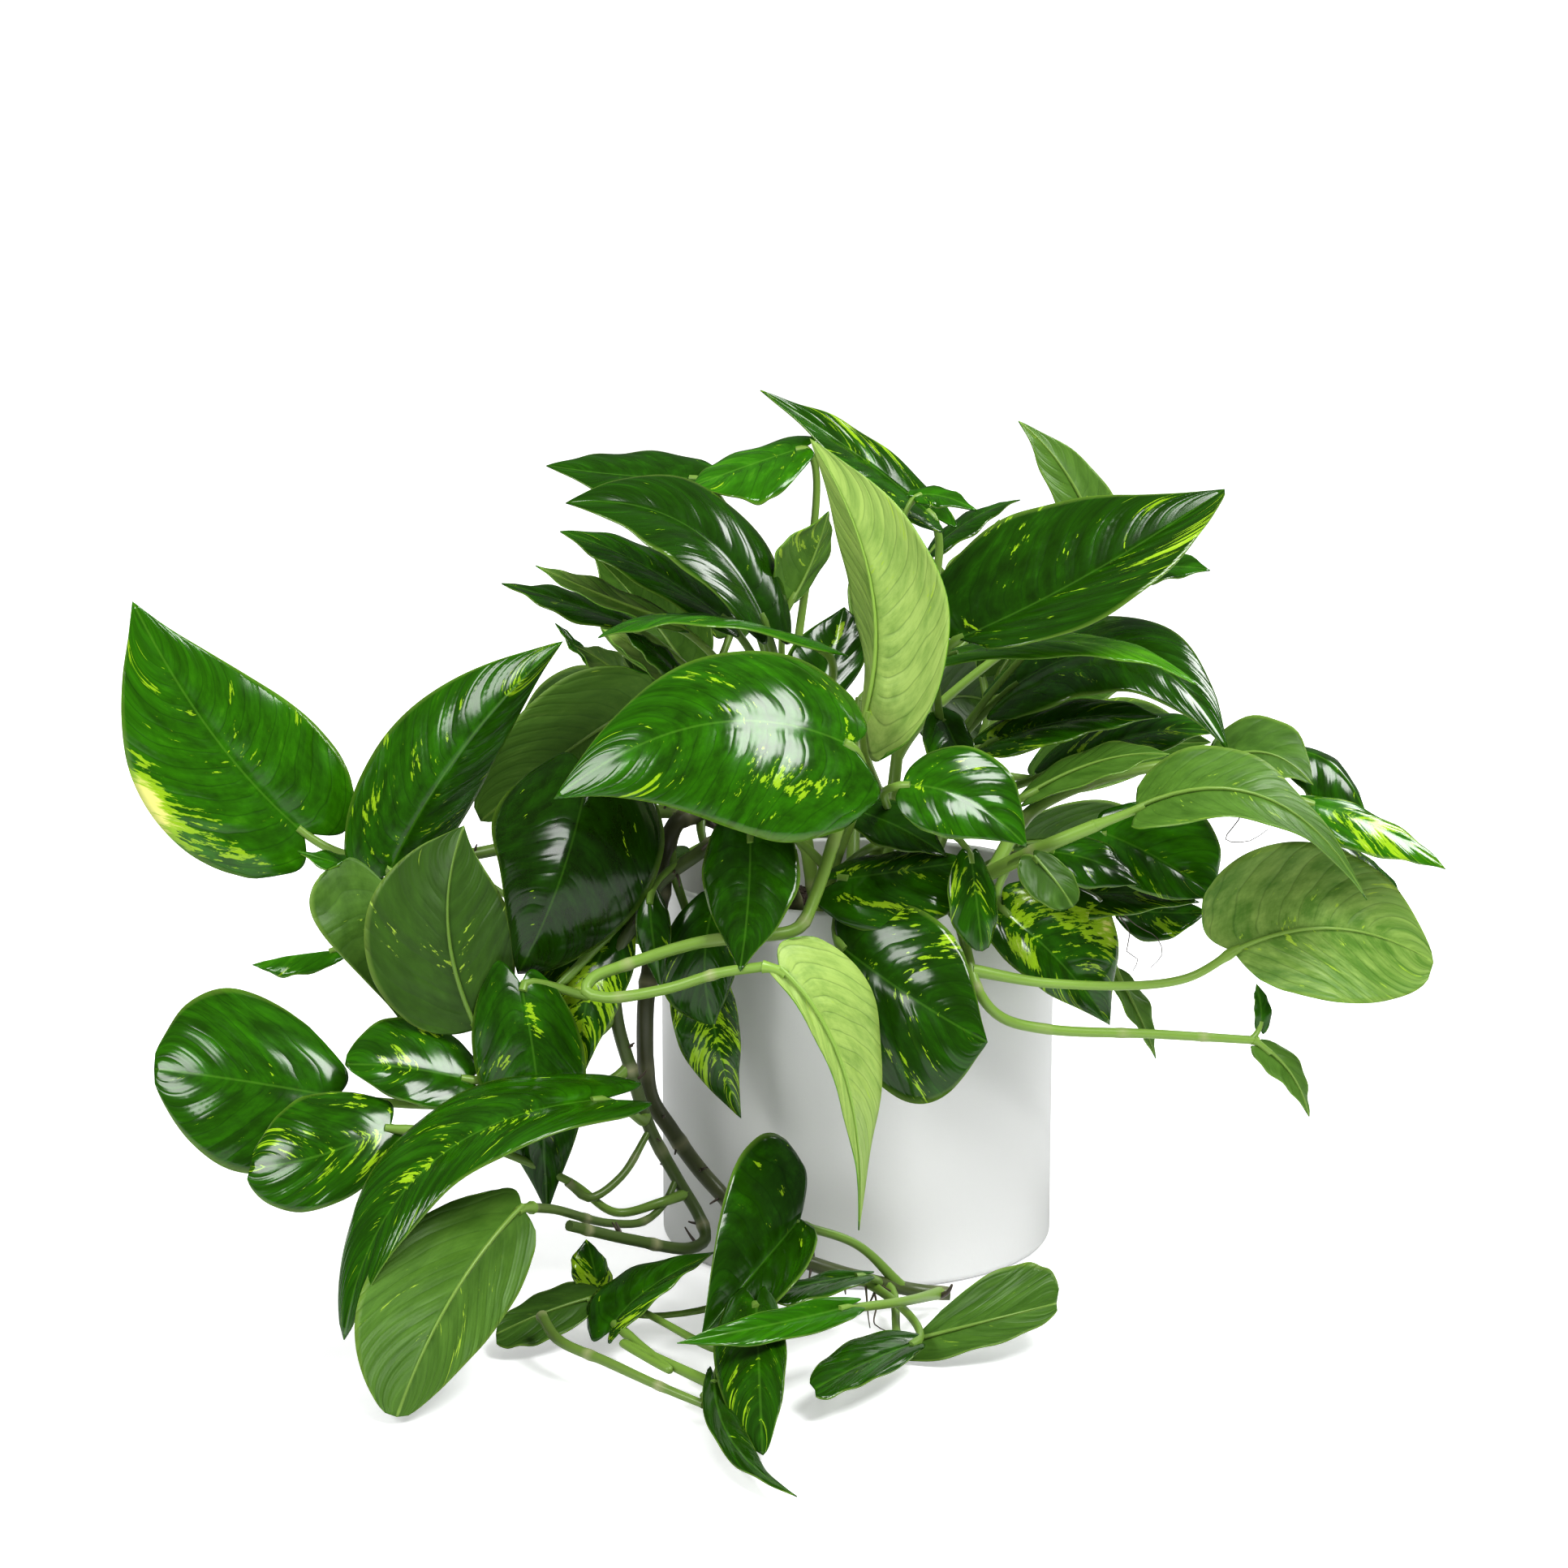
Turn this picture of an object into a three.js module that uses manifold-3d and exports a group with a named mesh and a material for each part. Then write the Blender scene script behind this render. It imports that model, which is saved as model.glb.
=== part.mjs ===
// A golden pothos with trailing stems, in a white cylindrical pot of potting soil.
// Millimetres, +Z up. The origin is the middle of the pot's foot, and the plant is seen from -Y.
import * as THREE from "three";
import { mergeVertices } from "three/addons/utils/BufferGeometryUtils.js";
import Module from "manifold-3d";

const wasm = await Module();
wasm.setup();

// Pot
const POT_RADIUS = 80;
const POT_HEIGHT = 150;
const POT_WALL = 4;
const POT_FLOOR = 6;
const FOOT_ROUND = 3;
const RIM_ROUND = 1.2;
const POT_SIDES = 40;

// Soil
const SOIL_TOP = 131;
const SOIL_RINGS = 2;
const SOIL_SIDES = 18;
const SOIL_RELIEF = 1.6;
const GAP = 0.35;
const HOLE_ROOM = 1.8;
const HOLE_SIDES = 6;
const HOLE_REACH = 22;

// Leaves
const BLADE_THICKNESS = 0.8;
const LARGE_LEAF = 59;
const LARGE_GRID = { stations: [0, 0.14, 0.4, 0.7, 1], ribs: [-1, -0.5, 0, 0.5, 1] };
const SMALL_GRID = { stations: [0, 0.2, 0.6, 1], ribs: [-1, 0, 1] };
// Half-width of the blade as a share of the widest, at shares of the way from petiole to tip.
const OUTLINE = [
  [0, 0.45],
  [0.08, 0.76],
  [0.18, 0.94],
  [0.3, 1],
  [0.5, 0.91],
  [0.66, 0.69],
  [0.8, 0.42],
  [0.9, 0.2],
  [0.96, 0.08],
  [1, 0],
];
const LOBE = 0.13; // how far the two lobes reach back past the petiole, as a share of the length
const LOBE_TURN = 2.45; // radians of a sine from midrib to edge: over a quarter turn, for round lobes
const WIDEST = 0.3;
const CAMBER = 0.3; // rise of each half between midrib and edge, as a share of the half-width
const WAVE = 1.4;
const PETIOLE_RADIUS = 1.9;
const PETIOLE_SIDES = 3;
const PETIOLE_STEP = 32;
const STEM_SIDES = 5;
const STEM_STEP = 24;

// Places on the plant are given as they show in a picture 1932 pixels square: pixels across, pixels
// down, and millimetres behind the pot's axis. It is taken from EYE, looking along +Y and down by TILT.
const PICTURE_MIDDLE = 966;
const FOCAL_PIXELS = 3614;
const EYE = new THREE.Vector3(-30, -1173, 383);
const TILT = THREE.MathUtils.degToRad(9.5);

// Each leafy stem has its stems, as a radius and the places they pass through, and its leaves. A leaf has:
// how far along which stem it grows (0 to 1 on the first, 1 to 2 on the second), then five places on its
// blade: where the petiole meets it, the middle of the midrib, the tip, and the widest places of the left
// and the right edge as seen from above with the tip ahead. Some have a twist in degrees, the sizes of the
// left and right lobe against the usual one, how blunt the left and right half are towards the tip (0 to 1),
// or places that a long petiole passes through.
const LEAFY_STEMS = {
  upper_left: {
    stems: [{ radius: 3.2, path: [[1020, 1190, 0], [1000, 1080, 0], [985, 980, 5], [970, 890, 10]] }],
    leaves: [
      [0.98, [858, 590, 28], [765, 586, 28], [673, 574, 20], [805, 622, 8], [800, 557, 48]],
      [0.9, [990, 552, 14], [920, 575, 10], [848, 602, -8], [945, 618, -10], [925, 552, 26]],
      [0.85, [940, 765, -38], [845, 648, -38], [697, 620, -55], [835, 692, -70], [917, 640, -10]],
      [0.75, [895, 765, -12], [790, 696, -12], [690, 655, -14], [800, 729, -32], [834, 690, 8]],
      [0.68, [828, 768, -24], [742, 735, -24], [660, 697, -22], [765, 726, -8], [770, 758, -38]],
      [0.62, [775, 770, 2], [695, 742, 4], [618, 719, 2], [705, 763, -14], [722, 735, 16]],
      [0.7, [1012, 798, -50], [850, 762, -62], [737, 786, -74], [900, 775, -88], [900, 768, -34]],
      [0.55, [822, 835, -50], [785, 800, -52], [742, 776, -54], [805, 795, -40], [790, 822, -64]],
      [0.5, [780, 848, -4], [745, 818, -2], [708, 796, 0], [762, 808, 16], [745, 838, -18]],
      [0.6, [835, 830, -64], [805, 800, -68], [770, 778, -72], [805, 822, -78], [825, 805, -58]],
      [0.45, [735, 825, 12], [712, 800, 12], [684, 768, 12], [716, 812, 6], [728, 806, 18]],
      [0.95, [975, 738, -12], [1000, 690, -6], [1021, 630, -2], [1018, 688, 2], [958, 680, -22]],
      [0.92, [900, 690, 45], [880, 650, 55], [850, 600, 62], [865, 660, 75], [905, 640, 45]],
      [0.7, [1008, 862, 2], [1024, 806, 14], [1040, 748, 24], [968, 812, 4], [1068, 806, 18]],
    ],
  },
  crown: {
    stems: [{ radius: 3.2, path: [[1080, 1190, 10], [1090, 1080, 10], [1100, 980, 15], [1110, 890, 25]] }],
    leaves: [
      [
        0.5, [1066, 885, -72], [1074, 718, -70], [998, 540, -62], [1168, 785, -86], [1060, 778, -46],
        { twist: 35, lobes: [1, 0.4] },
      ],
      [0.98, [1148, 635, 22], [1052, 558, 30], [937, 481, 12], [1075, 612, 0], [1102, 562, 40]],
      [0.92, [1128, 612, -8], [1160, 612, -6], [1205, 630, -14], [1150, 600, 0], [1148, 626, -18]],
      [0.9, [1155, 672, 52], [1205, 636, 56], [1257, 616, 60], [1180, 640, 66], [1192, 662, 42]],
      [0.85, [1356, 690, 42], [1319, 594, 34], [1255, 519, 30], [1376, 630, 52], [1312, 642, 24]],
      [0.95, [1200, 780, 60], [1250, 720, 75], [1290, 655, 95], [1200, 730, 80], [1270, 740, 60]],
    ],
  },
  right_upper: {
    stems: [
      {
        radius: 3.2,
        path: [
          [1110, 1190, -10], [1130, 1090, -15], [1150, 1000, -20], [1165, 930, -20],
        ],
      },
    ],
    leaves: [
      [
        0.9, [1179, 788, -62], [1335, 712, -58], [1509, 603, -42], [1240, 639, -38], [1362, 758, -84],
        { lobes: [1, 0], blunt: [0, 0.2] },
      ],
      [0.97, [1385, 712, -8], [1440, 700, -10], [1491, 703, -14], [1415, 682, 4], [1415, 722, -22]],
      [0.95, [1248, 848, -14], [1395, 808, -22], [1513, 925, -44], [1364, 760, 8], [1325, 862, -48]],
      [0.85, [1172, 808, -42], [1345, 792, -56], [1475, 845, -68], [1290, 780, -36], [1285, 808, -64]],
      [0.7, [1222, 915, -32], [1330, 885, -28], [1430, 884, -34], [1290, 868, -14], [1300, 918, -50]],
      [0.6, [1272, 978, -58], [1360, 938, -60], [1442, 930, -62], [1345, 962, -74], [1330, 926, -46]],
      [0.65, [1300, 950, -12], [1410, 905, -8], [1500, 903, -8], [1370, 885, 8], [1385, 945, -26]],
      [0.8, [1160, 884, -34], [1180, 925, -50], [1190, 965, -66], [1195, 900, -42], [1140, 925, -58]],
    ],
  },
  right_reach: {
    stems: [
      {
        radius: 3.4,
        path: [
          [1095, 1190, -30], [1150, 1110, -48], [1221, 1075, -80], [1290, 1042, -92], [1350, 1017, -95],
        ],
      },
      {
        radius: 2.8,
        path: [
          [1221, 1075, -80], [1272, 999, -48], [1340, 965, -40], [1420, 945, -38], [1500, 938, -36],
        ],
      },
    ],
    leaves: [
      [
        0.99, [1402, 997, -95], [1560, 985, -98], [1684, 1109, -82], [1490, 1010, -118], [1503, 919, -72],
        { lobes: [0.1, 0.1] },
      ],
      [1.9, [1505, 938, -44], [1565, 930, -48], [1618, 968, -52], [1540, 962, -62], [1550, 881, -28]],
      [1.93, [1590, 925, -36], [1645, 945, -42], [1684, 1008, -50], [1632, 930, -24], [1612, 980, -48]],
      [1.97, [1610, 990, -66], [1700, 1020, -62], [1781, 1071, -62], [1682, 996, -54], [1668, 1048, -76]],
      [1.99, [1652, 1040, -48], [1700, 1072, -44], [1734, 1116, -42], [1686, 1058, -40], [1674, 1070, -52]],
      [
        0.68, [1274, 1056, -102], [1302, 1088, -108], [1322, 1118, -109], [1264, 1096, -110],
        [1316, 1070, -104], { blunt: [0.9, 0.9] },
      ],
    ],
  },
  right_runner: {
    stems: [
      {
        radius: 2.2,
        path: [
          [1110, 1190, -40], [1138, 1100, -58], [1178, 1130, -88], [1207, 1224, -106], [1235, 1254, -103],
          [1290, 1268, -98], [1420, 1274, -84], [1550, 1282, -70],
        ],
      },
    ],
    leaves: [
      [
        0.42, [1519, 1172, -66], [1645, 1144, -64], [1766, 1186, -56], [1650, 1235, -78], [1570, 1040, -60],
        { lobes: [0.1, 0.5], blunt: [0.9, 0.2], via: [[1300, 1212, -94], [1460, 1206, -72]] },
      ],
      [
        0.985, [1553, 1268, -68], [1553, 1240, -67], [1548, 1212, -66], [1545, 1246, -68],
        [1566, 1246, -66],
      ],
      [0.99, [1558, 1292, -70], [1593, 1328, -68], [1613, 1376, -66], [1564, 1322, -74], [1598, 1306, -62]],
    ],
  },
  right_low: {
    stems: [
      {
        radius: 3.2,
        path: [
          [1130, 1190, -10], [1180, 1100, -20], [1240, 1060, -30], [1300, 1060, -38], [1345, 1090, -42],
        ],
      },
    ],
    leaves: [
      [0.6, [1236, 1124, -80], [1305, 1185, -82], [1367, 1263, -74], [1356, 1108, -66], [1248, 1192, -92]],
      [0.97, [1378, 1206, -48], [1404, 1255, -50], [1424, 1304, -50], [1384, 1238, -56], [1410, 1228, -42]],
      [0.9, [1300, 1108, -62], [1390, 1100, -60], [1478, 1112, -58], [1365, 1082, -50], [1365, 1130, -74]],
      [0.95, [1355, 1025, -62], [1430, 1060, -58], [1500, 1108, -50], [1474, 1000, -44], [1395, 1095, -72]],
      [0.8, [1290, 1050, -78], [1350, 1062, -78], [1405, 1092, -74], [1350, 1035, -68], [1325, 1090, -88]],
      [0.98, [1385, 1120, -22], [1435, 1125, -20], [1488, 1124, -20], [1425, 1102, -12], [1420, 1160, -30]],
    ],
  },
  middle: {
    stems: [
      {
        radius: 3,
        path: [
          [1050, 1190, -20], [1062, 1110, -32], [1080, 1050, -45], [1095, 1010, -55],
        ],
      },
    ],
    leaves: [
      [
        0.95, [1112, 968, -108], [1190, 985, -112], [1265, 1044, -114], [1210, 926, -100],
        [1148, 1028, -120], { lobes: [0.2, 0.4] },
      ],
      [0.9, [1056, 1000, -74], [1112, 1022, -80], [1167, 1056, -88], [1110, 990, -68], [1082, 1040, -88]],
      [
        0.8, [1036, 1084, -90], [1120, 1072, -92], [1202, 1060, -86], [1092, 1050, -80],
        [1112, 1148, -104], { lobes: [1.4, 1.8], blunt: [0.2, 0.7] },
      ],
      [
        0.85, [1196, 1055, -98], [1203, 1112, -104], [1210, 1172, -106], [1227, 1105, -98],
        [1168, 1112, -108], { blunt: [0.7, 0.4] },
      ],
      [
        0.7, [1035, 1165, -98], [1128, 1232, -118], [1217, 1284, -128], [1150, 1130, -106],
        [1098, 1348, -122],
      ],
    ],
  },
  front_cascade: {
    stems: [
      {
        radius: 3,
        path: [
          [1010, 1190, -40], [1020, 1100, -58], [1039, 1002, -92], [1004, 1105, -106], [984, 1143, -112],
          [930, 1154, -116], [863, 1161, -119], [774, 1188, -124], [729, 1206, -128], [722, 1221, -131],
          [745, 1229, -134], [819, 1219, -138], [886, 1199, -142], [940, 1191, -144],
        ],
      },
    ],
    leaves: [
      [
        0.13, [1048, 919, -112], [868, 893, -126], [682, 985, -128], [950, 1037, -138], [945, 803, -98],
        { lobes: [1, 0.3] },
      ],
      [0.16, [925, 1030, -112], [922, 1115, -128], [912, 1197, -146], [985, 1072, -126], [866, 1070, -106]],
      [
        1, [961, 1194, -145], [1040, 1325, -150], [1058, 1516, -140], [995, 1262, -152], [1076, 1224, -130],
        { twist: -40, lobes: [0.2, 0.5] },
      ],
    ],
  },
  left_reach: {
    stems: [
      {
        radius: 3,
        path: [
          [990, 1190, 5], [960, 1070, -8], [870, 1005, -22], [740, 1010, -46], [620, 1045, -48],
          [500, 1062, -40], [430, 1056, -34],
        ],
      },
    ],
    leaves: [
      [
        1, [374, 1026, -34], [262, 905, -40], [163, 741, -42], [200, 1022, -52], [398, 902, -24],
        { lobes: [0.7, 0.7] },
      ],
      [
        0.9, [478, 1077, -62], [573, 918, -66], [694, 790, -64], [456, 934, -48], [568, 1014, -52],
        { lobes: [0.6, 0.5] },
      ],
      [
        0.42, [790, 868, -28], [700, 925, -28], [592, 1012, -30], [684, 842, -28], [765, 970, -30],
        { blunt: [0.8, 0.2] },
      ],
      [
        0.55, [724, 955, -98], [690, 1085, -118], [638, 1200, -106], [815, 1060, -101], [606, 1010, -92],
        { blunt: [0.8, 0.3] },
      ],
      [0.92, [467, 1079, -44], [415, 1064, -46], [366, 1049, -46], [425, 1082, -54], [428, 1056, -38]],
      [
        0.85, [478, 1092, -76], [498, 1180, -82], [498, 1264, -80], [384, 1128, -86], [560, 1150, -72],
        { lobes: [1.6, 1] },
      ],
      [0.94, [415, 1172, -44], [360, 1178, -46], [311, 1189, -46], [372, 1202, -52], [378, 1180, -38]],
      [0.8, [700, 1180, -60], [670, 1210, -62], [640, 1240, -66], [690, 1220, -70], [660, 1195, -54]],
    ],
  },
  trailing_left: {
    stems: [
      {
        radius: 2.8,
        path: [
          [1000, 1190, -25], [965, 1075, -45], [900, 1030, -72], [853, 1057, -90], [810, 1090, -96],
          [790, 1126, -98], [764, 1170, -98], [757, 1215, -98], [761, 1261, -98], [777, 1317, -98],
          [801, 1391, -95], [834, 1452, -94], [862, 1500, -98], [869, 1526, -104], [850, 1538, -112],
          [780, 1528, -128], [701, 1510, -150],
        ],
      },
      {
        radius: 1.8,
        path: [
          [655, 1488, -160], [682, 1490, -150], [750, 1507, -122], [793, 1505, -110], [817, 1485, -102],
          [834, 1452, -94],
        ],
      },
      { radius: 1.7, path: [[700, 1456, -118], [725, 1476, -116], [765, 1450, -108], [801, 1391, -95]] },
    ],
    leaves: [
      [
        0.36, [588, 1268, -108], [552, 1140, -106], [572, 1017, -96], [632, 1150, -104], [450, 1175, -104],
        { lobes: [0.6, 0.2] },
      ],
      [
        0.5, [642, 1212, -116], [664, 1350, -126], [674, 1494, -120], [720, 1302, -112], [584, 1305, -112],
        { lobes: [0.6, 1] },
      ],
      [
        0.52, [577, 1331, -112], [500, 1316, -118], [425, 1312, -122], [528, 1366, -126], [508, 1252, -98],
        { blunt: [0.3, 0.3] },
      ],
      [
        0.58, [415, 1352, -112], [300, 1332, -116], [190, 1317, -112], [306, 1446, -128], [294, 1219, -92],
        { blunt: [0.4, 0.45] },
      ],
      [
        1, [643, 1487, -168], [556, 1600, -200], [489, 1746, -218], [462, 1555, -188], [628, 1612, -190],
        { lobes: [1, 0.1], blunt: [0.45, 0.6] },
      ],
      [
        0.64, [738, 1356, -142], [525, 1440, -172], [424, 1651, -192], [632, 1420, -176], [575, 1345, -136],
        { blunt: [0.4, 0.4] },
      ],
      [
        0.74, [482, 1385, -130], [400, 1422, -142], [308, 1440, -142], [402, 1488, -150], [378, 1350, -126],
        {
          blunt: [0.5, 0.7],
          via: [[813, 1482, -104], [760, 1494, -108], [700, 1455, -118], [560, 1400, -128]],
        },
      ],
      [0.32, [752, 1150, -96], [722, 1240, -104], [716, 1332, -108], [775, 1210, -104], [662, 1205, -92]],
      [0.27, [800, 1105, -106], [805, 1160, -112], [815, 1220, -110], [826, 1140, -106], [784, 1145, -108]],
    ],
  },
  trailing_front: {
    stems: [
      {
        radius: 3.6,
        path: [
          [965, 1190, -22], [935, 1070, -36], [880, 1010, -58], [832, 1016, -78], [815, 1100, -80],
          [800, 1200, -85], [795, 1250, -88], [801, 1349, -84], [826, 1391, -80], [862, 1441, -78],
          [894, 1477, -82], [930, 1520, -102], [977, 1548, -116], [1060, 1575, -112], [1130, 1590, -104],
          [1171, 1594, -104],
        ],
      },
      { radius: 2.4, path: [[930, 1516, -100], [905, 1600, -130], [890, 1680, -178], [866, 1730, -214]] },
      {
        radius: 2,
        path: [
          [667, 1621, -156], [687, 1650, -170], [750, 1679, -190], [813, 1708, -205], [866, 1730, -214],
        ],
      },
    ],
    leaves: [
      [0.24, [880, 1110, -92], [868, 1190, -98], [880, 1266, -96], [908, 1180, -92], [812, 1195, -98]],
      [0.3, [868, 1190, -86], [885, 1290, -98], [913, 1378, -92], [908, 1248, -84], [828, 1258, -92]],
      [
        0.95, [986, 1502, -124], [926, 1573, -150], [864, 1648, -174], [985, 1575, -166], [922, 1410, -126],
        { lobes: [0, 1], blunt: [0.4, 0], via: [[1058, 1535, -112]] },
      ],
      [
        1.5, [932, 1606, -176], [936, 1700, -218], [940, 1793, -252], [968, 1660, -204], [880, 1668, -196],
        { blunt: [0.4, 0.4] },
      ],
      [1.95, [880, 1700, -206], [904, 1780, -252], [982, 1844, -290], [910, 1738, -226], [874, 1764, -244]],
      [
        0.99, [1040, 1612, -176], [935, 1636, -200], [834, 1655, -214], [985, 1648, -200],
        [975, 1607, -188],
        { via: [[1110, 1604, -146]] },
      ],
      [
        0.93, [1118, 1655, -152], [1212, 1630, -152], [1302, 1606, -142], [1190, 1668, -164],
        [1248, 1558, -130], { lobes: [1, 0], blunt: [0.8, 0.8] },
      ],
      [
        0.9, [1128, 1656, -168], [1066, 1680, -190], [1004, 1712, -212], [1078, 1700, -202],
        [1056, 1650, -178], { blunt: [0.9, 0.9] },
      ],
      [
        0.92, [1062, 1572, -130], [990, 1585, -145], [926, 1604, -162], [1010, 1600, -158],
        [1005, 1570, -136],
      ],
      [
        1.85, [752, 1640, -152], [795, 1592, -142], [880, 1543, -126], [744, 1582, -132], [808, 1602, -154],
        { via: [[768, 1655, -165], [825, 1688, -186]] },
      ],
      [
        1.6, [732, 1600, -134], [672, 1618, -142], [611, 1644, -150], [682, 1586, -128], [675, 1650, -154],
        { blunt: [0.8, 0.8] },
      ],
      [1.3, [738, 1600, -122], [732, 1565, -120], [722, 1527, -116], [704, 1570, -126], [753, 1568, -114]],
    ],
  },
  back_left: {
    stems: [{ radius: 3, path: [[1010, 1190, 25], [960, 1080, 45], [900, 960, 70], [850, 860, 85]] }],
    leaves: [
      [0.95, [850, 830, 95], [794, 752, 114], [732, 684, 112], [858, 724, 96], [747, 786, 88]],
      [0.8, [800, 900, 90], [710, 889, 124], [621, 934, 129], [723, 820, 105], [716, 965, 98]],
      [0.7, [860, 950, 80], [815, 872, 114], [793, 771, 125], [881, 836, 102], [756, 864, 95]],
      [0.9, [900, 780, 100], [900, 702, 122], [889, 623, 120], [955, 708, 103], [844, 708, 103]],
      [0.5, [850, 1050, 60], [794, 1095, 99], [749, 1162, 105], [748, 1072, 81], [844, 1155, 88]],
    ],
  },
  back_middle: {
    stems: [{ radius: 3, path: [[1050, 1190, 30], [1050, 1080, 60], [1055, 960, 85], [1060, 860, 100]] }],
    leaves: [
      [0.98, [1095, 830, 115], [1101, 729, 137], [1089, 640, 132], [1170, 727, 115], [1045, 727, 115]],
      [0.85, [1130, 880, 110], [1186, 858, 149], [1242, 880, 155], [1205, 919, 124], [1191, 795, 131]],
      [0.85, [1000, 880, 110], [933, 869, 149], [866, 902, 155], [940, 814, 124], [933, 938, 124]],
      [0.7, [1060, 960, 100], [1060, 1005, 145], [1054, 1072, 156], [991, 1023, 120], [1129, 1023, 120]],
      [0.6, [1000, 990, 95], [955, 1057, 132], [910, 1147, 145], [910, 1050, 113], [1006, 1147, 124]],
    ],
  },
  back_right: {
    stems: [{ radius: 3, path: [[1095, 1190, 25], [1140, 1080, 45], [1190, 960, 70], [1230, 860, 85]] }],
    leaves: [
      [0.95, [1230, 830, 95], [1297, 740, 117], [1364, 673, 114], [1345, 788, 95], [1234, 712, 98]],
      [0.8, [1260, 850, 90], [1350, 822, 124], [1450, 828, 124], [1344, 871, 98], [1344, 765, 104]],
      [0.7, [1280, 960, 80], [1381, 926, 114], [1493, 915, 116], [1377, 965, 91], [1363, 862, 99]],
      [0.9, [1200, 780, 100], [1217, 702, 122], [1231, 640, 118], [1273, 702, 102], [1163, 709, 107]],
      [0.55, [1250, 1040, 60], [1351, 1040, 99], [1452, 1074, 105], [1346, 1103, 78], [1360, 986, 88]],
    ],
  },
};

// The point in the plant's own frame that shows at a place in the picture.
function placeOf([across, down, behind]) {
  const right = (across - PICTURE_MIDDLE) / FOCAL_PIXELS;
  const up = (PICTURE_MIDDLE - down) / FOCAL_PIXELS;
  const ray = new THREE.Vector3(
    right,
    Math.cos(TILT) + up * Math.sin(TILT),
    up * Math.cos(TILT) - Math.sin(TILT),
  );
  return ray.multiplyScalar((behind - EYE.y) / ray.y).add(EYE);
}

// A closed geometry as a solid that can be joined and cut.
function solidOf(geometry) {
  const bare = new THREE.BufferGeometry().setAttribute("position", geometry.getAttribute("position"));
  bare.setIndex(geometry.index);
  const merged = mergeVertices(bare, 1e-4);
  return new wasm.Manifold(
    new wasm.Mesh({
      numProp: 3,
      vertProperties: merged.attributes.position.array,
      triVerts: new Uint32Array(merged.index.array),
    }),
  );
}

function geometryOf(solid) {
  const { vertProperties, triVerts } = solid.getMesh();
  const geometry = new THREE.BufferGeometry();
  geometry.setAttribute("position", new THREE.BufferAttribute(vertProperties, 3));
  geometry.setIndex(new THREE.BufferAttribute(triVerts, 1));
  geometry.computeVertexNormals();
  return geometry;
}

// A round bar along a curve.
function bar(curve, radius, sides, steps) {
  const section = new THREE.Shape();
  for (let i = 0; i < sides; i++) {
    const turn = (2 * Math.PI * (i + 0.5)) / sides;
    section[i ? "lineTo" : "moveTo"](radius * Math.cos(turn), radius * Math.sin(turn));
  }
  section.closePath();
  return solidOf(new THREE.ExtrudeGeometry(section, { extrudePath: curve, steps, bevelEnabled: false }));
}

// Past its widest place a blunt blade keeps nearer to half an ellipse.
function halfWidthAt(share, blunt) {
  const after = Math.max(1, OUTLINE.findIndex(([at]) => at >= share));
  const [[from, low], [to, high]] = [OUTLINE[after - 1], OUTLINE[after]];
  const pointed = low + ((high - low) * (share - from)) / (to - from);
  if (share < WIDEST) return pointed;
  const rounded = Math.sqrt(1 - ((share - WIDEST) / (1 - WIDEST)) ** 2);
  return pointed + blunt * (rounded - pointed);
}

// The blade's middle surface: its place at a share along the midrib and a share out to either edge.
function bladeSurface([base, middle, tip, left, right], extras, phase) {
  const { twist = 0, lobes = [1, 1], blunt = [0, 0] } = extras;
  const midrib = new THREE.QuadraticBezierCurve3(
    base,
    middle.clone().multiplyScalar(2).addScaledVector(base, -0.5).addScaledVector(tip, -0.5),
    tip,
  );
  const length = midrib.getLength();
  const ahead = midrib.getTangent(WIDEST);
  const across = right.clone().sub(left).projectOnPlane(ahead).normalize();
  const up = across.clone().cross(ahead);
  const reaches = [left, right].map((edge) => {
    const reach = edge.clone().sub(midrib.getPoint(WIDEST));
    return [reach.dot(ahead), reach.dot(across), reach.dot(up)];
  });
  const placeAt = (t, out) => {
    const forward = midrib.getTangent(t);
    const turn = new THREE.Quaternion().setFromUnitVectors(ahead, forward);
    const roll = THREE.MathUtils.degToRad(twist) * (t - WIDEST);
    const sideways = across.clone().applyQuaternion(turn).applyAxisAngle(forward, roll);
    const upward = sideways.clone().cross(forward);
    const share = Math.abs(out);
    const half = out < 0 ? 0 : 1;
    const width = halfWidthAt(t, blunt[half]) * share;
    const [forth, aside, above] = reaches[half].map((reach) => reach * width);
    const back = LOBE * lobes[half] * (1 - t) ** 4 * Math.sin(share * LOBE_TURN) * length;
    const bulge = CAMBER * Math.abs(aside) * (1 - share);
    const ripple = WAVE * share ** 2 * Math.sin(7 * t + phase + Math.sign(out)) * (1 - t) * 2 * t;
    return midrib
      .getPoint(t)
      .addScaledVector(forward, forth - back)
      .addScaledVector(sideways, aside)
      .addScaledVector(upward, above + bulge + ripple);
  };
  return { placeAt, arrival: midrib.getTangent(0), length };
}

// The blade's faces lie half a thickness off its middle surface, along the surface's normal.
function facesAt({ placeAt }, t, out) {
  const nearly = 0.01;
  const [before, after] = [Math.max(t - nearly, 0), Math.min(t + nearly, 1)];
  const [left, right] = [Math.max(out - nearly, -1), Math.min(out + nearly, 1)];
  const row = Math.min(t, 1 - nearly);
  const ahead = placeAt(after, out).sub(placeAt(before, out));
  const across = placeAt(row, right).sub(placeAt(row, left));
  const normal = across.cross(ahead).normalize().multiplyScalar(BLADE_THICKNESS / 2);
  return [placeAt(t, out).add(normal), placeAt(t, out).sub(normal)];
}

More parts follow.
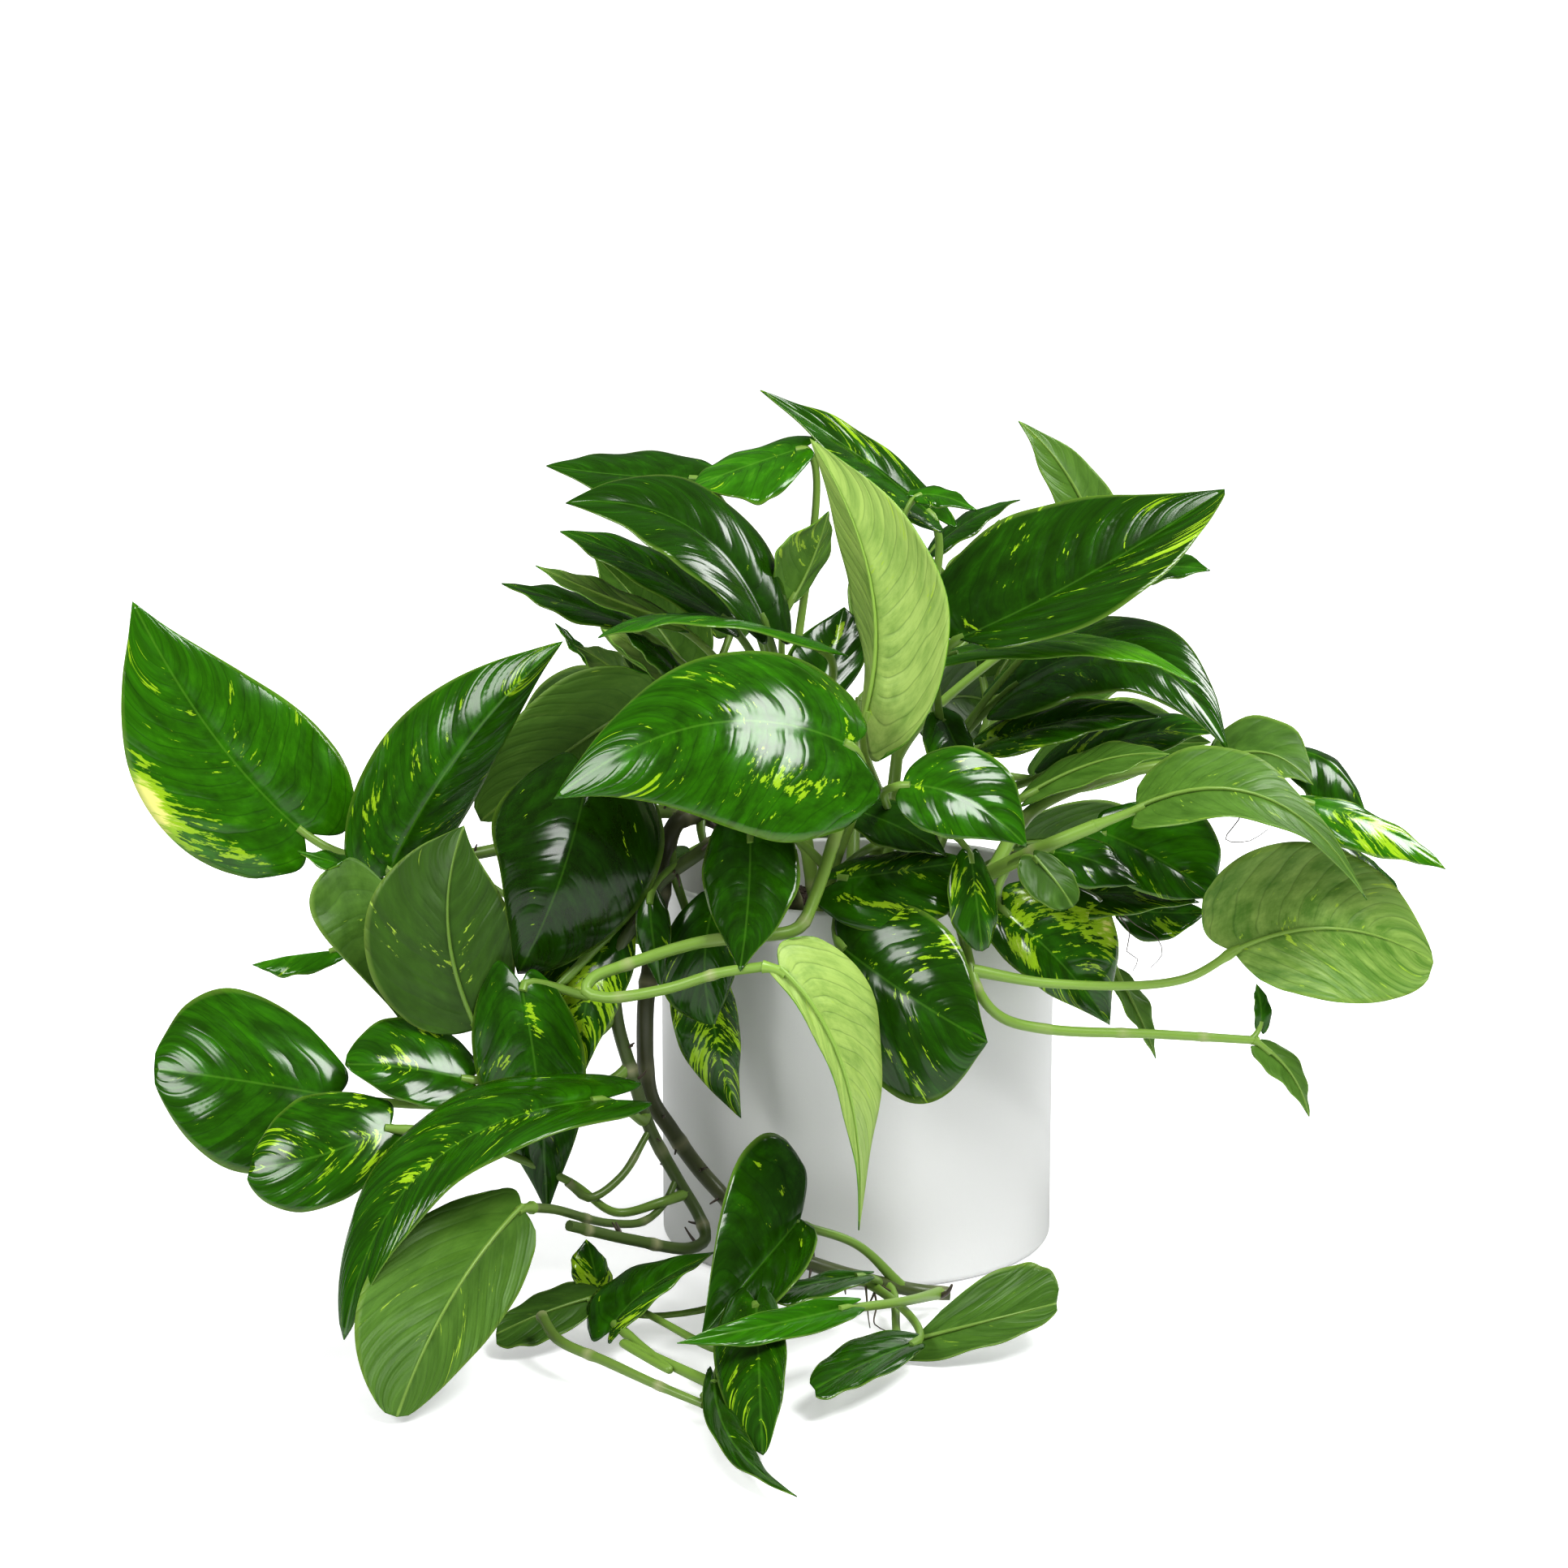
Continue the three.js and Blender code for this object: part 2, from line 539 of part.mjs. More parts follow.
function bladeSolid(surface) {
  const { stations, ribs } = surface.length > LARGE_LEAF ? LARGE_GRID : SMALL_GRID;
  const vertices = [];
  const numberOf = (place) => vertices.push(place.x, place.y, place.z) / 3 - 1;
  const rows = stations.map((t) =>
    (t === 1 ? [0] : ribs).map((out) => facesAt(surface, t, out).map(numberOf)),
  );
  const triangles = [];
  const skin = (a, b, c) => {
    triangles.push(a[0], b[0], c[0], a[1], c[1], b[1]);
  };
  const rim = (a, b) => {
    triangles.push(a[0], a[1], b[1], a[0], b[1], b[0]);
  };
  const middle = (ribs.length - 1) / 2;
  rows.slice(0, -1).forEach((row, i) => {
    const next = rows[i + 1];
    for (let j = 0; j < ribs.length - 1; j++) {
      if (next.length === 1) {
        skin(row[j], row[j + 1], next[0]);
      } else if (j < middle) {
        skin(row[j], row[j + 1], next[j]);
        skin(row[j + 1], next[j + 1], next[j]);
      } else {
        skin(row[j], row[j + 1], next[j + 1]);
        skin(row[j], next[j + 1], next[j]);
      }
      if (i === 0) rim(row[j], row[j + 1]);
    }
    rim(next[0], row[0]);
    rim(row.at(-1), next.at(-1));
  });
  const geometry = new THREE.BufferGeometry();
  geometry.setAttribute("position", new THREE.Float32BufferAttribute(vertices, 3));
  geometry.setIndex(triangles);
  return solidOf(geometry);
}

function stemCurve(path) {
  return new THREE.CatmullRomCurve3(path.map(placeOf), false, "centripetal");
}

// The petiole leaves its stem outwards and comes into the midrib from behind.
function petioleCurve(stem, share, base, arrival, via) {
  const start = stem.getPointAt(Math.min(share, 1));
  const end = base.clone().addScaledVector(arrival, 3);
  if (via) return new THREE.CatmullRomCurve3([start, ...via.map(placeOf), end]);
  const span = start.distanceTo(end);
  const leaving = stem.getTangentAt(Math.min(share, 1)).lerp(end.clone().sub(start).normalize(), 0.5);
  return new THREE.CubicBezierCurve3(
    start,
    start.clone().addScaledVector(leaving, span * 0.35),
    end.clone().addScaledVector(arrival, -Math.min(span * 0.3, 22)),
    end,
  );
}

function leafyStemSolid({ stems, leaves }, order) {
  const curves = stems.map(({ path }) => stemCurve(path));
  const bars = curves.map((curve, i) =>
    bar(curve, stems[i].radius, STEM_SIDES, Math.round(curve.getLength() / STEM_STEP) + 1),
  );
  const grown = leaves.flatMap(([at, base, middle, tip, left, right, more = {}], i) => {
    const places = [base, middle, tip, left, right].map(placeOf);
    const surface = bladeSurface(places, more, 2 * i + order);
    const stem = curves[Math.min(Math.floor(at), stems.length - 1)];
    const share = at >= 1 && stems.length > 1 ? at - 1 : at;
    const curve = petioleCurve(stem, share, places[0], surface.arrival, more.via);
    const steps = Math.max(2, Math.round(curve.getLength() / PETIOLE_STEP));
    return [bladeSolid(surface), bar(curve, PETIOLE_RADIUS, PETIOLE_SIDES, steps)];
  });
  return wasm.Manifold.union([...bars, ...grown]);
}

function potGeometry() {
  const inside = POT_RADIUS - POT_WALL;
  const profile = new THREE.Path();
  profile.moveTo(0, 0);
  profile.lineTo(POT_RADIUS - FOOT_ROUND, 0);
  profile.absarc(POT_RADIUS - FOOT_ROUND, FOOT_ROUND, FOOT_ROUND, -Math.PI / 2, 0, false);
  profile.lineTo(POT_RADIUS, POT_HEIGHT - RIM_ROUND);
  profile.absarc(POT_RADIUS - RIM_ROUND, POT_HEIGHT - RIM_ROUND, RIM_ROUND, 0, Math.PI / 2, false);
  profile.lineTo(inside, POT_HEIGHT);
  profile.lineTo(inside, POT_FLOOR);
  profile.lineTo(0, POT_FLOOR);
  return new THREE.LatheGeometry(profile.getPoints(2), POT_SIDES).rotateX(Math.PI / 2);
}

// A round plug whose top is gently uneven.
function soilSolid() {
  const radius = POT_RADIUS - POT_WALL - GAP - 0.4;
  const profile = [new THREE.Vector2(0, POT_FLOOR + GAP), new THREE.Vector2(radius, POT_FLOOR + GAP)];
  for (let i = SOIL_RINGS; i >= 0; i--) {
    profile.push(new THREE.Vector2((radius * i) / SOIL_RINGS, SOIL_TOP));
  }
  const geometry = new THREE.LatheGeometry(profile, SOIL_SIDES).rotateX(Math.PI / 2);
  const places = geometry.getAttribute("position");
  for (let i = 0; i < places.count; i++) {
    const [x, y, z] = [places.getX(i), places.getY(i), places.getZ(i)];
    if (z < SOIL_TOP - 1) continue;
    places.setZ(i, z + SOIL_RELIEF * (Math.sin(x / 9) * Math.cos(y / 11) + 0.4 * Math.sin((x + y) / 5)));
  }
  return solidOf(geometry);
}

// The plain straight hole in which a stem stands, a little deeper than its foot.
function holeFor({ path, radius }) {
  const stem = stemCurve(path);
  const foot = stem.getPointAt(0);
  const aim = stem.getPointAt(HOLE_REACH / stem.getLength()).sub(foot).normalize();
  const hole = new THREE.LineCurve3(
    foot.clone().addScaledVector(aim, -GAP),
    foot.clone().addScaledVector(aim, 2 * HOLE_REACH),
  );
  return bar(hole, radius + HOLE_ROOM, HOLE_SIDES, 1);
}

const potMaterial = new THREE.MeshStandardMaterial({ color: 0xe9e8e6, roughness: 0.55 });
const soilMaterial = new THREE.MeshStandardMaterial({ color: 0x2b2019, roughness: 1 });
const leafMaterial = new THREE.MeshStandardMaterial({ color: 0x2c6a18, roughness: 0.35 });

const plant = new THREE.Group();

function addNode(name, geometry, material) {
  const mesh = new THREE.Mesh(geometry, material);
  mesh.name = name;
  plant.add(mesh);
}

let soil = soilSolid();
Object.entries(LEAFY_STEMS).forEach(([name, leafyStem], order) => {
  addNode(name, geometryOf(leafyStemSolid(leafyStem, order)), leafMaterial);
  soil = soil.subtract(holeFor(leafyStem.stems[0]));
});
addNode("pot", potGeometry(), potMaterial);
addNode("soil", geometryOf(soil), soilMaterial);

export default plant;
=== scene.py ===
# A golden pothos with short and trailing stems, in a white pot of potting soil, dressed for the camera.
import math
import random

import bpy
import numpy as np
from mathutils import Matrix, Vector


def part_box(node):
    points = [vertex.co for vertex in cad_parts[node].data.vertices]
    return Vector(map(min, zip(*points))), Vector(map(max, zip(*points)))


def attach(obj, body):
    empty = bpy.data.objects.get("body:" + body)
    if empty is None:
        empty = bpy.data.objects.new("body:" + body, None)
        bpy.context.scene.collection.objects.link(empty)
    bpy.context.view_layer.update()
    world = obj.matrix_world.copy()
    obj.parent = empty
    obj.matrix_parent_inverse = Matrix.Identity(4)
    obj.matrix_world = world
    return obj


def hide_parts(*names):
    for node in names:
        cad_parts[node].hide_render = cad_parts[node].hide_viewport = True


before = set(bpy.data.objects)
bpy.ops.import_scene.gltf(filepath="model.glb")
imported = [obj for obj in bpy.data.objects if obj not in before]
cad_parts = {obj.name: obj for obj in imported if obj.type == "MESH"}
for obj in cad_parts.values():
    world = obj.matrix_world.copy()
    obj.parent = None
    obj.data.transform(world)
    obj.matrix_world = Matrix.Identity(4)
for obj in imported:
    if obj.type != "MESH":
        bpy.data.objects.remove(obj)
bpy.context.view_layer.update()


# Pot: one slip-cast, straight-sided planter in a smooth satin-white glaze. It has a closed floor, a foot
# that is rounded under, and a thin rim rounded on both edges, and it simply stands on the surface.
POT_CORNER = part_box("pot")[1]
POT_RADIUS = POT_CORNER.x
POT_HEIGHT = POT_CORNER.z
POT_WALL = 0.004
POT_FLOOR = 0.006
POT_BORE = POT_RADIUS - POT_WALL
FOOT_ROUND = 0.003
FLOOR_ROUND = 0.003
BORE_START = 0.004
RIM_ROUND = 0.0013
POT_SIDES = 160
GLAZE_WHITE = (0.71, 0.715, 0.705, 1)
GLAZE_SHADE = (0.69, 0.695, 0.685, 1)
GLAZE_ROUGHNESS = 0.38


def arc(centre, radius, start, end, steps=6):
    """Points on an arc in the plane of a turned profile, from one angle in degrees to another."""
    turns = [math.radians(start + (end - start) * i / steps) for i in range(steps + 1)]
    return [(centre[0] + radius * math.cos(a), centre[1] + radius * math.sin(a)) for a in turns]


def turned(profile, sides):
    """Vertices and faces of a closed shape turned about +Z from (radius, height) points, axis to axis."""
    vertices = [(0, 0, profile[0][1])]
    for radius, height in profile[1:-1]:
        for i in range(sides):
            turn = 2 * math.pi * i / sides
            vertices.append((radius * math.cos(turn), radius * math.sin(turn), height))
    vertices.append((0, 0, profile[-1][1]))
    rings = len(profile) - 2
    faces = []
    for i in range(sides):
        j = (i + 1) % sides
        faces.append((0, 1 + j, 1 + i))
        for ring in range(rings - 1):
            low, high = 1 + ring * sides, 1 + (ring + 1) * sides
            faces.append((low + i, low + j, high + j, high + i))
        last = 1 + (rings - 1) * sides
        faces.append((last + i, last + j, len(vertices) - 1))
    return vertices, faces


def make_piece(name, vertices, faces, *materials):
    """A smooth mesh object at the origin, with its materials."""
    mesh = bpy.data.meshes.new(name)
    mesh.from_pydata([tuple(v) for v in vertices], [], faces)
    mesh.polygons.foreach_set("use_smooth", [True] * len(mesh.polygons))
    for material in materials:
        mesh.materials.append(material)
    piece = bpy.data.objects.new(name, mesh)
    bpy.context.scene.collection.objects.link(piece)
    return piece


def put_in_place(piece, node):
    """Hangs a finished piece on the root body and hides the CAD node that it stands for."""
    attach(piece, "root")
    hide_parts(node)


def add_node(tree, kind, values=None, **settings):
    """A node of a kind in a tree, with its settings, and its inputs set or linked by name or number."""
    made = tree.nodes.new(kind)
    for setting, value in settings.items():
        setattr(made, setting, value)
    for key, value in (values or {}).items():
        if isinstance(value, bpy.types.NodeSocket):
            tree.links.new(value, made.inputs[key])
        else:
            made.inputs[key].default_value = value
    return made


def new_material(name, roughness):
    """A material, its tree, its Principled shader's inputs, and the place on the object as a socket."""
    material = bpy.data.materials.new(name)
    material.use_nodes = True
    tree = material.node_tree
    surface = tree.nodes["Principled BSDF"].inputs
    surface["Roughness"].default_value = roughness
    return material, tree, surface, add_node(tree, "ShaderNodeTexCoord").outputs["Object"]


def noise(tree, place, scale, detail=2.0, roughness=0.5):
    """The value of a soft random pattern at a place."""
    settings = {"Vector": place, "Scale": scale, "Detail": detail, "Roughness": roughness}
    return add_node(tree, "ShaderNodeTexNoise", settings).outputs["Fac"]


def blend(tree, share, first, second):
    """A colour between two others, each given or from a socket, by a share of the second."""
    settings = {"Factor": share, "A": first, "B": second}
    return add_node(tree, "ShaderNodeMix", settings, data_type="RGBA").outputs["Result"]


def raise_surface(tree, surface, height, strength, distance):
    """Lets a pattern stand up from the surface by a distance in metres."""
    settings = {"Height": height, "Strength": strength, "Distance": distance}
    tree.links.new(add_node(tree, "ShaderNodeBump", settings).outputs["Normal"], surface["Normal"])


glaze, tree, surface, place = new_material("satin white glaze", GLAZE_ROUGHNESS)
clouding = noise(tree, place, scale=14.0, detail=3.0)
tree.links.new(blend(tree, clouding, GLAZE_WHITE, GLAZE_SHADE), surface["Base Color"])
raise_surface(tree, surface, noise(tree, place, scale=420.0), strength=0.12, distance=0.0003)

pot_profile = [(0, 0)]
pot_profile += arc((POT_RADIUS - FOOT_ROUND, FOOT_ROUND), FOOT_ROUND, -90, 0)
pot_profile += [(POT_RADIUS, POT_HEIGHT * share) for share in (0.25, 0.5, 0.75)]
pot_profile += arc((POT_RADIUS - RIM_ROUND, POT_HEIGHT - RIM_ROUND), RIM_ROUND, 0, 90)
pot_profile += arc((POT_BORE + RIM_ROUND, POT_HEIGHT - RIM_ROUND), RIM_ROUND, 90, 180)
pot_profile += [(POT_BORE, POT_FLOOR + BORE_START)]
pot_profile += arc((POT_BORE - FLOOR_ROUND, POT_FLOOR + FLOOR_ROUND), FLOOR_ROUND, 0, -90)
pot_profile += [(0, POT_FLOOR)]
pot = make_piece("pot_shell", *turned(pot_profile, POT_SIDES), glaze)
put_in_place(pot, "pot")


# Soil: damp peaty potting mix poured in and pressed by hand, level but lumpy, with bark crumbs and white
# grains of perlite lying loose on it. It fills the pot to 2 cm below the rim and holds the stems.
SOIL_RADIUS = POT_BORE - 0.0006
SOIL_BOTTOM = POT_FLOOR + 0.0004
SOIL_TOP = 0.131
SOIL_RINGS = 44
SOIL_SIDES = 120
HOLLOWS = 0.0016
LUMPS = 0.0006
CRUMBS = {"Per square metre": 60000, "Smallest": 0.0006, "Largest": 0.0019, "Seed": 3}
PERLITE = {"Per square metre": 7000, "Smallest": 0.0008, "Largest": 0.0017, "Seed": 8}
GRAIN_SQUASHES = (0.55, 0.55, 0.4), (1.25, 1.0, 0.9)
GRAIN_TURNS = (-0.5, -0.5, 0.0), (0.5, 0.5, 6.28)
GRAIN_SLOPE = 0.6
PEAT_DARK = (0.012, 0.008, 0.005, 1)
PEAT_LIGHT = (0.055, 0.034, 0.020, 1)
PERLITE_WHITE = (0.62, 0.60, 0.55, 1)
PERLITE_DUSTY = (0.40, 0.36, 0.30, 1)


def geometry_group(name, *inputs):
    """A geometry tree from mesh to mesh, with more inputs by name and kind, and its input sockets."""
    group = bpy.data.node_groups.new(name, "GeometryNodeTree")
    for title, kind in (("Geometry", "Geometry"), *inputs):
        group.interface.new_socket(title, in_out="INPUT", socket_type="NodeSocket" + kind)
    group.interface.new_socket("Geometry", in_out="OUTPUT", socket_type="NodeSocketGeometry")
    return group, group.nodes.new("NodeGroupInput").outputs


def end_group(group, shapes, finish):
    """Ends a geometry tree with real faces of one material."""
    real = add_node(group, "GeometryNodeRealizeInstances", {0: shapes})
    finished = add_node(group, "GeometryNodeSetMaterial", {0: real.outputs[0], "Material": finish})
    group.links.new(finished.outputs[0], group.nodes.new("NodeGroupOutput").inputs[0])


def scatter_tree():
    """Loose grains on the upward faces of a mesh, each turned, sized and squashed at random."""
    group, given = geometry_group(
        "Loose grains", ("Per square metre", "Float"), ("Smallest", "Float"), ("Largest", "Float"),
        ("Seed", "Int"), ("Finish", "Material"),
    )
    normal = group.nodes.new("GeometryNodeInputNormal").outputs[0]
    height = add_node(group, "ShaderNodeSeparateXYZ", {0: normal}).outputs["Z"]
    points = add_node(group, "GeometryNodeDistributePointsOnFaces", {
        "Mesh": given["Geometry"],
        "Selection": add_node(group, "FunctionNodeCompare", {0: height, 1: GRAIN_SLOPE}).outputs[0],
        "Density": given["Per square metre"], "Seed": given["Seed"],
    })
    size = add_node(
        group, "FunctionNodeRandomValue",
        {2: given["Smallest"], 3: given["Largest"], "Seed": given["Seed"]}, data_type="FLOAT",
    )
    squash, turn = (
        add_node(
            group, "FunctionNodeRandomValue", {0: least, 1: most, "Seed": seed}, data_type="FLOAT_VECTOR",
        ).outputs[0]
        for (least, most), seed in ((GRAIN_SQUASHES, 5), (GRAIN_TURNS, 9))
    )
    scale = add_node(
        group, "ShaderNodeVectorMath", {0: squash, "Scale": size.outputs[1]}, operation="SCALE",
    )
    grain = add_node(group, "GeometryNodeMeshIcoSphere", {"Radius": 1.0, "Subdivisions": 1})
    grains = add_node(group, "GeometryNodeInstanceOnPoints", {
        "Points": points.outputs["Points"], "Instance": grain.outputs["Mesh"],
        "Rotation": turn, "Scale": scale.outputs[0],
    })
    end_group(group, grains.outputs[0], given["Finish"])
    return group


def plain_mesh(source):
    """A plain mesh of an object with what its modifiers make of it."""
    bpy.context.view_layer.update()
    return bpy.data.meshes.new_from_object(source.evaluated_get(bpy.context.evaluated_depsgraph_get()))


def grown_mesh(source, group, name, inputs):
    """The plain mesh that a geometry tree makes from an object, with its inputs given by name."""
    modifier = source.modifiers.new(name, "NODES")
    modifier.node_group = group
    for item in group.interface.items_tree:
        if item.in_out == "INPUT" and item.name in inputs:
            modifier[item.identifier] = inputs[item.name]
    mesh = plain_mesh(source)
    source.modifiers.remove(modifier)
    return mesh


def join_onto(piece, *meshes):
    """Joins plain meshes to a piece, which keeps its name and place."""
    pieces = [piece]
    for mesh in meshes:
        pieces.append(bpy.data.objects.new("joining", mesh))
        bpy.context.scene.collection.objects.link(pieces[-1])
    with bpy.context.temp_override(
        active_object=piece, object=piece, selected_objects=pieces, selected_editable_objects=pieces,
    ):
        bpy.ops.object.join()


def soil_height(x, y):
    """Gentle hollows as in the solid, and finer lumps."""
    hollows = math.sin(x / 0.009) * math.cos(y / 0.011) + 0.4 * math.sin((x + y) / 0.005)
    lumps = math.sin(x / 0.0023 + 2 * math.sin(y / 0.004)) * math.sin(y / 0.0027 + 1.5 * math.sin(x / 0.005))
    return SOIL_TOP + HOLLOWS * hollows + LUMPS * lumps


peat, tree, surface, place = new_material("damp peat", roughness=0.9)
fibres = noise(tree, place, scale=260.0, detail=6.0, roughness=0.7)
tree.links.new(blend(tree, fibres, PEAT_DARK, PEAT_LIGHT), surface["Base Color"])
raise_surface(tree, surface, noise(tree, place, scale=900.0, detail=4.0), strength=0.8, distance=0.001)

perlite, tree, surface, place = new_material("perlite", roughness=0.85)
dust = noise(tree, place, scale=700.0)
tree.links.new(blend(tree, dust, PERLITE_WHITE, PERLITE_DUSTY), surface["Base Color"])

soil_profile = [(0, SOIL_BOTTOM), (SOIL_RADIUS, SOIL_BOTTOM)]
soil_profile += [(SOIL_RADIUS * i / SOIL_RINGS, SOIL_TOP) for i in range(SOIL_RINGS, -1, -1)]
vertices, faces = turned(soil_profile, SOIL_SIDES)
vertices = [(x, y, soil_height(x, y) if z == SOIL_TOP else z) for x, y, z in vertices]
soil = make_piece("soil_mix", vertices, faces, peat)
grain_tree = scatter_tree()
crumbs = grown_mesh(soil, grain_tree, "crumbs", {"Finish": peat, **CRUMBS})
grains = grown_mesh(soil, grain_tree, "perlite", {"Finish": perlite, **PERLITE})
join_onto(soil, crumbs, grains)
put_in_place(soil, "soil")


# Upper left stem: one of the rooted cuttings that fill the pot, standing nearly upright. Its leaves fan out
# to the left on long stalks, dark and waxy above. Stem, stalks and blades grew as one piece.
# The camera, by which every place on the plant is given.
EYE = np.array([-0.030, -1.173, 0.383])
TILT = math.radians(9.5)
PICTURE_MIDDLE = 966
FOCAL_PIXELS = 3614
MM_PER_METRE = 1000
# Blades, with their outline as (share along, half-width as a share of the widest).
BLADE_THICKNESS = 0.0005
ROWS_PER_METRE, FEWEST_AND_MOST_ROWS = 560, (14, 46)
COLUMNS_PER_METRE, FEWEST_AND_MOST_COLUMNS = 240, (5, 12)
ROW_CROWDING = 1.25
LENGTH_STEPS = 40
MIDRIB_SHARES = 0, 0.97, 16
OUTLINE = [
    (0, 0.48), (0.03, 0.66), (0.08, 0.79), (0.18, 0.94), (0.3, 1), (0.5, 0.91),
    (0.66, 0.69), (0.8, 0.42), (0.9, 0.2), (0.96, 0.08), (1, 0),
]
OUTLINE_START = 7
WIDEST = 0.3
LOBE = 0.13
LOBE_TURN = 2.45
CAMBER = 0.3
WAVE, WAVE_TURN = 0.0014, 7
FRILL, FRILL_TURN = 0.0006, 19
PUFF = 0.0003
VEIN_SPACING = 0.0072
SPLASH_SPREAD = 1.6
# Stems, and stalks that swell at the foot and at the knee just under the blade.
STEM_STEP = 0.003
STEM_GIRTH, STEM_TAPER = 0.98, 0.25
STEM_TONE, DARKEST_STEM = 0.6, 0.1
TIP_YOUTH = 0.45
STALK_RADIUS = 0.0017
STALK_LAP = 0.003
STALK_SIDES = 10
STALK_STEP, FEWEST_STALK_STEPS = 0.004, 8
LONG_STALK_STEPS = 50
STALK_LEAN = 0.35
STALK_ARRIVAL = 0.3
LONGEST_ARRIVAL = 0.022
STALK_SIZE, SIZE_PER_METRE, MOST_STALK_SIZE = 0.55, 8, 1.1
STALK_GIRTH = 0.9
FOOT_SWELLING = 0.45
KNEE_SWELLING, KNEE_SHARE, KNEE_REACH = 0.28, 0.93, 0.035
STALK_TONE, RIB_TONE, TONE_OF_BLADE = 0.25, 0.2, 0.6
RING_SPACING = 0.034
RING_SWELLING = 0.17
RIDGE = 0.0009, 0.0002
# Short roots, on stems with more places and of more age than these, and thread-like ones.
ROOTED_PLACES, ROOTED_AGE = 6, 0.2
ROOT_GIRTH = 0.0008, 0.0003
ROOT_REACH = 0.004, 0.009
ROOT_LEAN = 0.5
ROOT_REST = 0.0012
ROOT_SHARES = 0.2, 0.98, 0.036
ROOTS_AT_ONE_PLACE = 0, 1, 1, 2
ROOT_STEPS = 5
THREAD_TIP = 0.4
# Colours of stems and stalks.
FRESH_GREEN = (0.300, 0.480, 0.080, 1)
DEEP_GREEN = (0.045, 0.115, 0.010, 1)
BARK_DARK = (0.035, 0.024, 0.018, 1)
BARK_LIGHT = (0.110, 0.085, 0.060, 1)
RING_CREAM = (0.42, 0.40, 0.24, 1)


def place_of(spot):
    """The point in the plant's frame that shows at a spot of the picture."""
    across, down, behind = spot
    right, up = (across - PICTURE_MIDDLE) / FOCAL_PIXELS, (PICTURE_MIDDLE - down) / FOCAL_PIXELS
    ray = np.array([
        right,
        math.cos(TILT) + up * math.sin(TILT),
        up * math.cos(TILT) - math.sin(TILT),
    ])
    return EYE + ray * (behind / MM_PER_METRE - EYE[1]) / ray[1]


def unit(vector):
    """The direction of a vector, with a length of one."""
    return vector / np.linalg.norm(vector)


def turned_onto(vector, start, end):
    """A vector after the smallest turn that brings one direction onto another."""
    axis = np.cross(start, end)
    return vector * (start @ end) + np.cross(axis, vector) + axis * (axis @ vector) / (1 + start @ end)


def rolled(vector, axis, angle):
    """A vector square to an axis, turned about it."""
    return vector * math.cos(angle) + np.cross(axis, vector) * math.sin(angle)


def half_width(t):
    """Half-width as a share of the widest, smooth between the outline's points."""
    at, wide = np.array(OUTLINE).T
    slope = np.gradient(wide, at)
    slope[0] = OUTLINE_START
    i = int(np.clip(np.searchsorted(at, t) - 1, 0, len(at) - 2))
    span = at[i + 1] - at[i]
    u = (t - at[i]) / span
    return (
        (2 * u**3 - 3 * u**2 + 1) * wide[i] + (u**3 - 2 * u**2 + u) * span * slope[i]
        + (3 * u**2 - 2 * u**3) * wide[i + 1] + (u**3 - u**2) * span * slope[i + 1]
    )


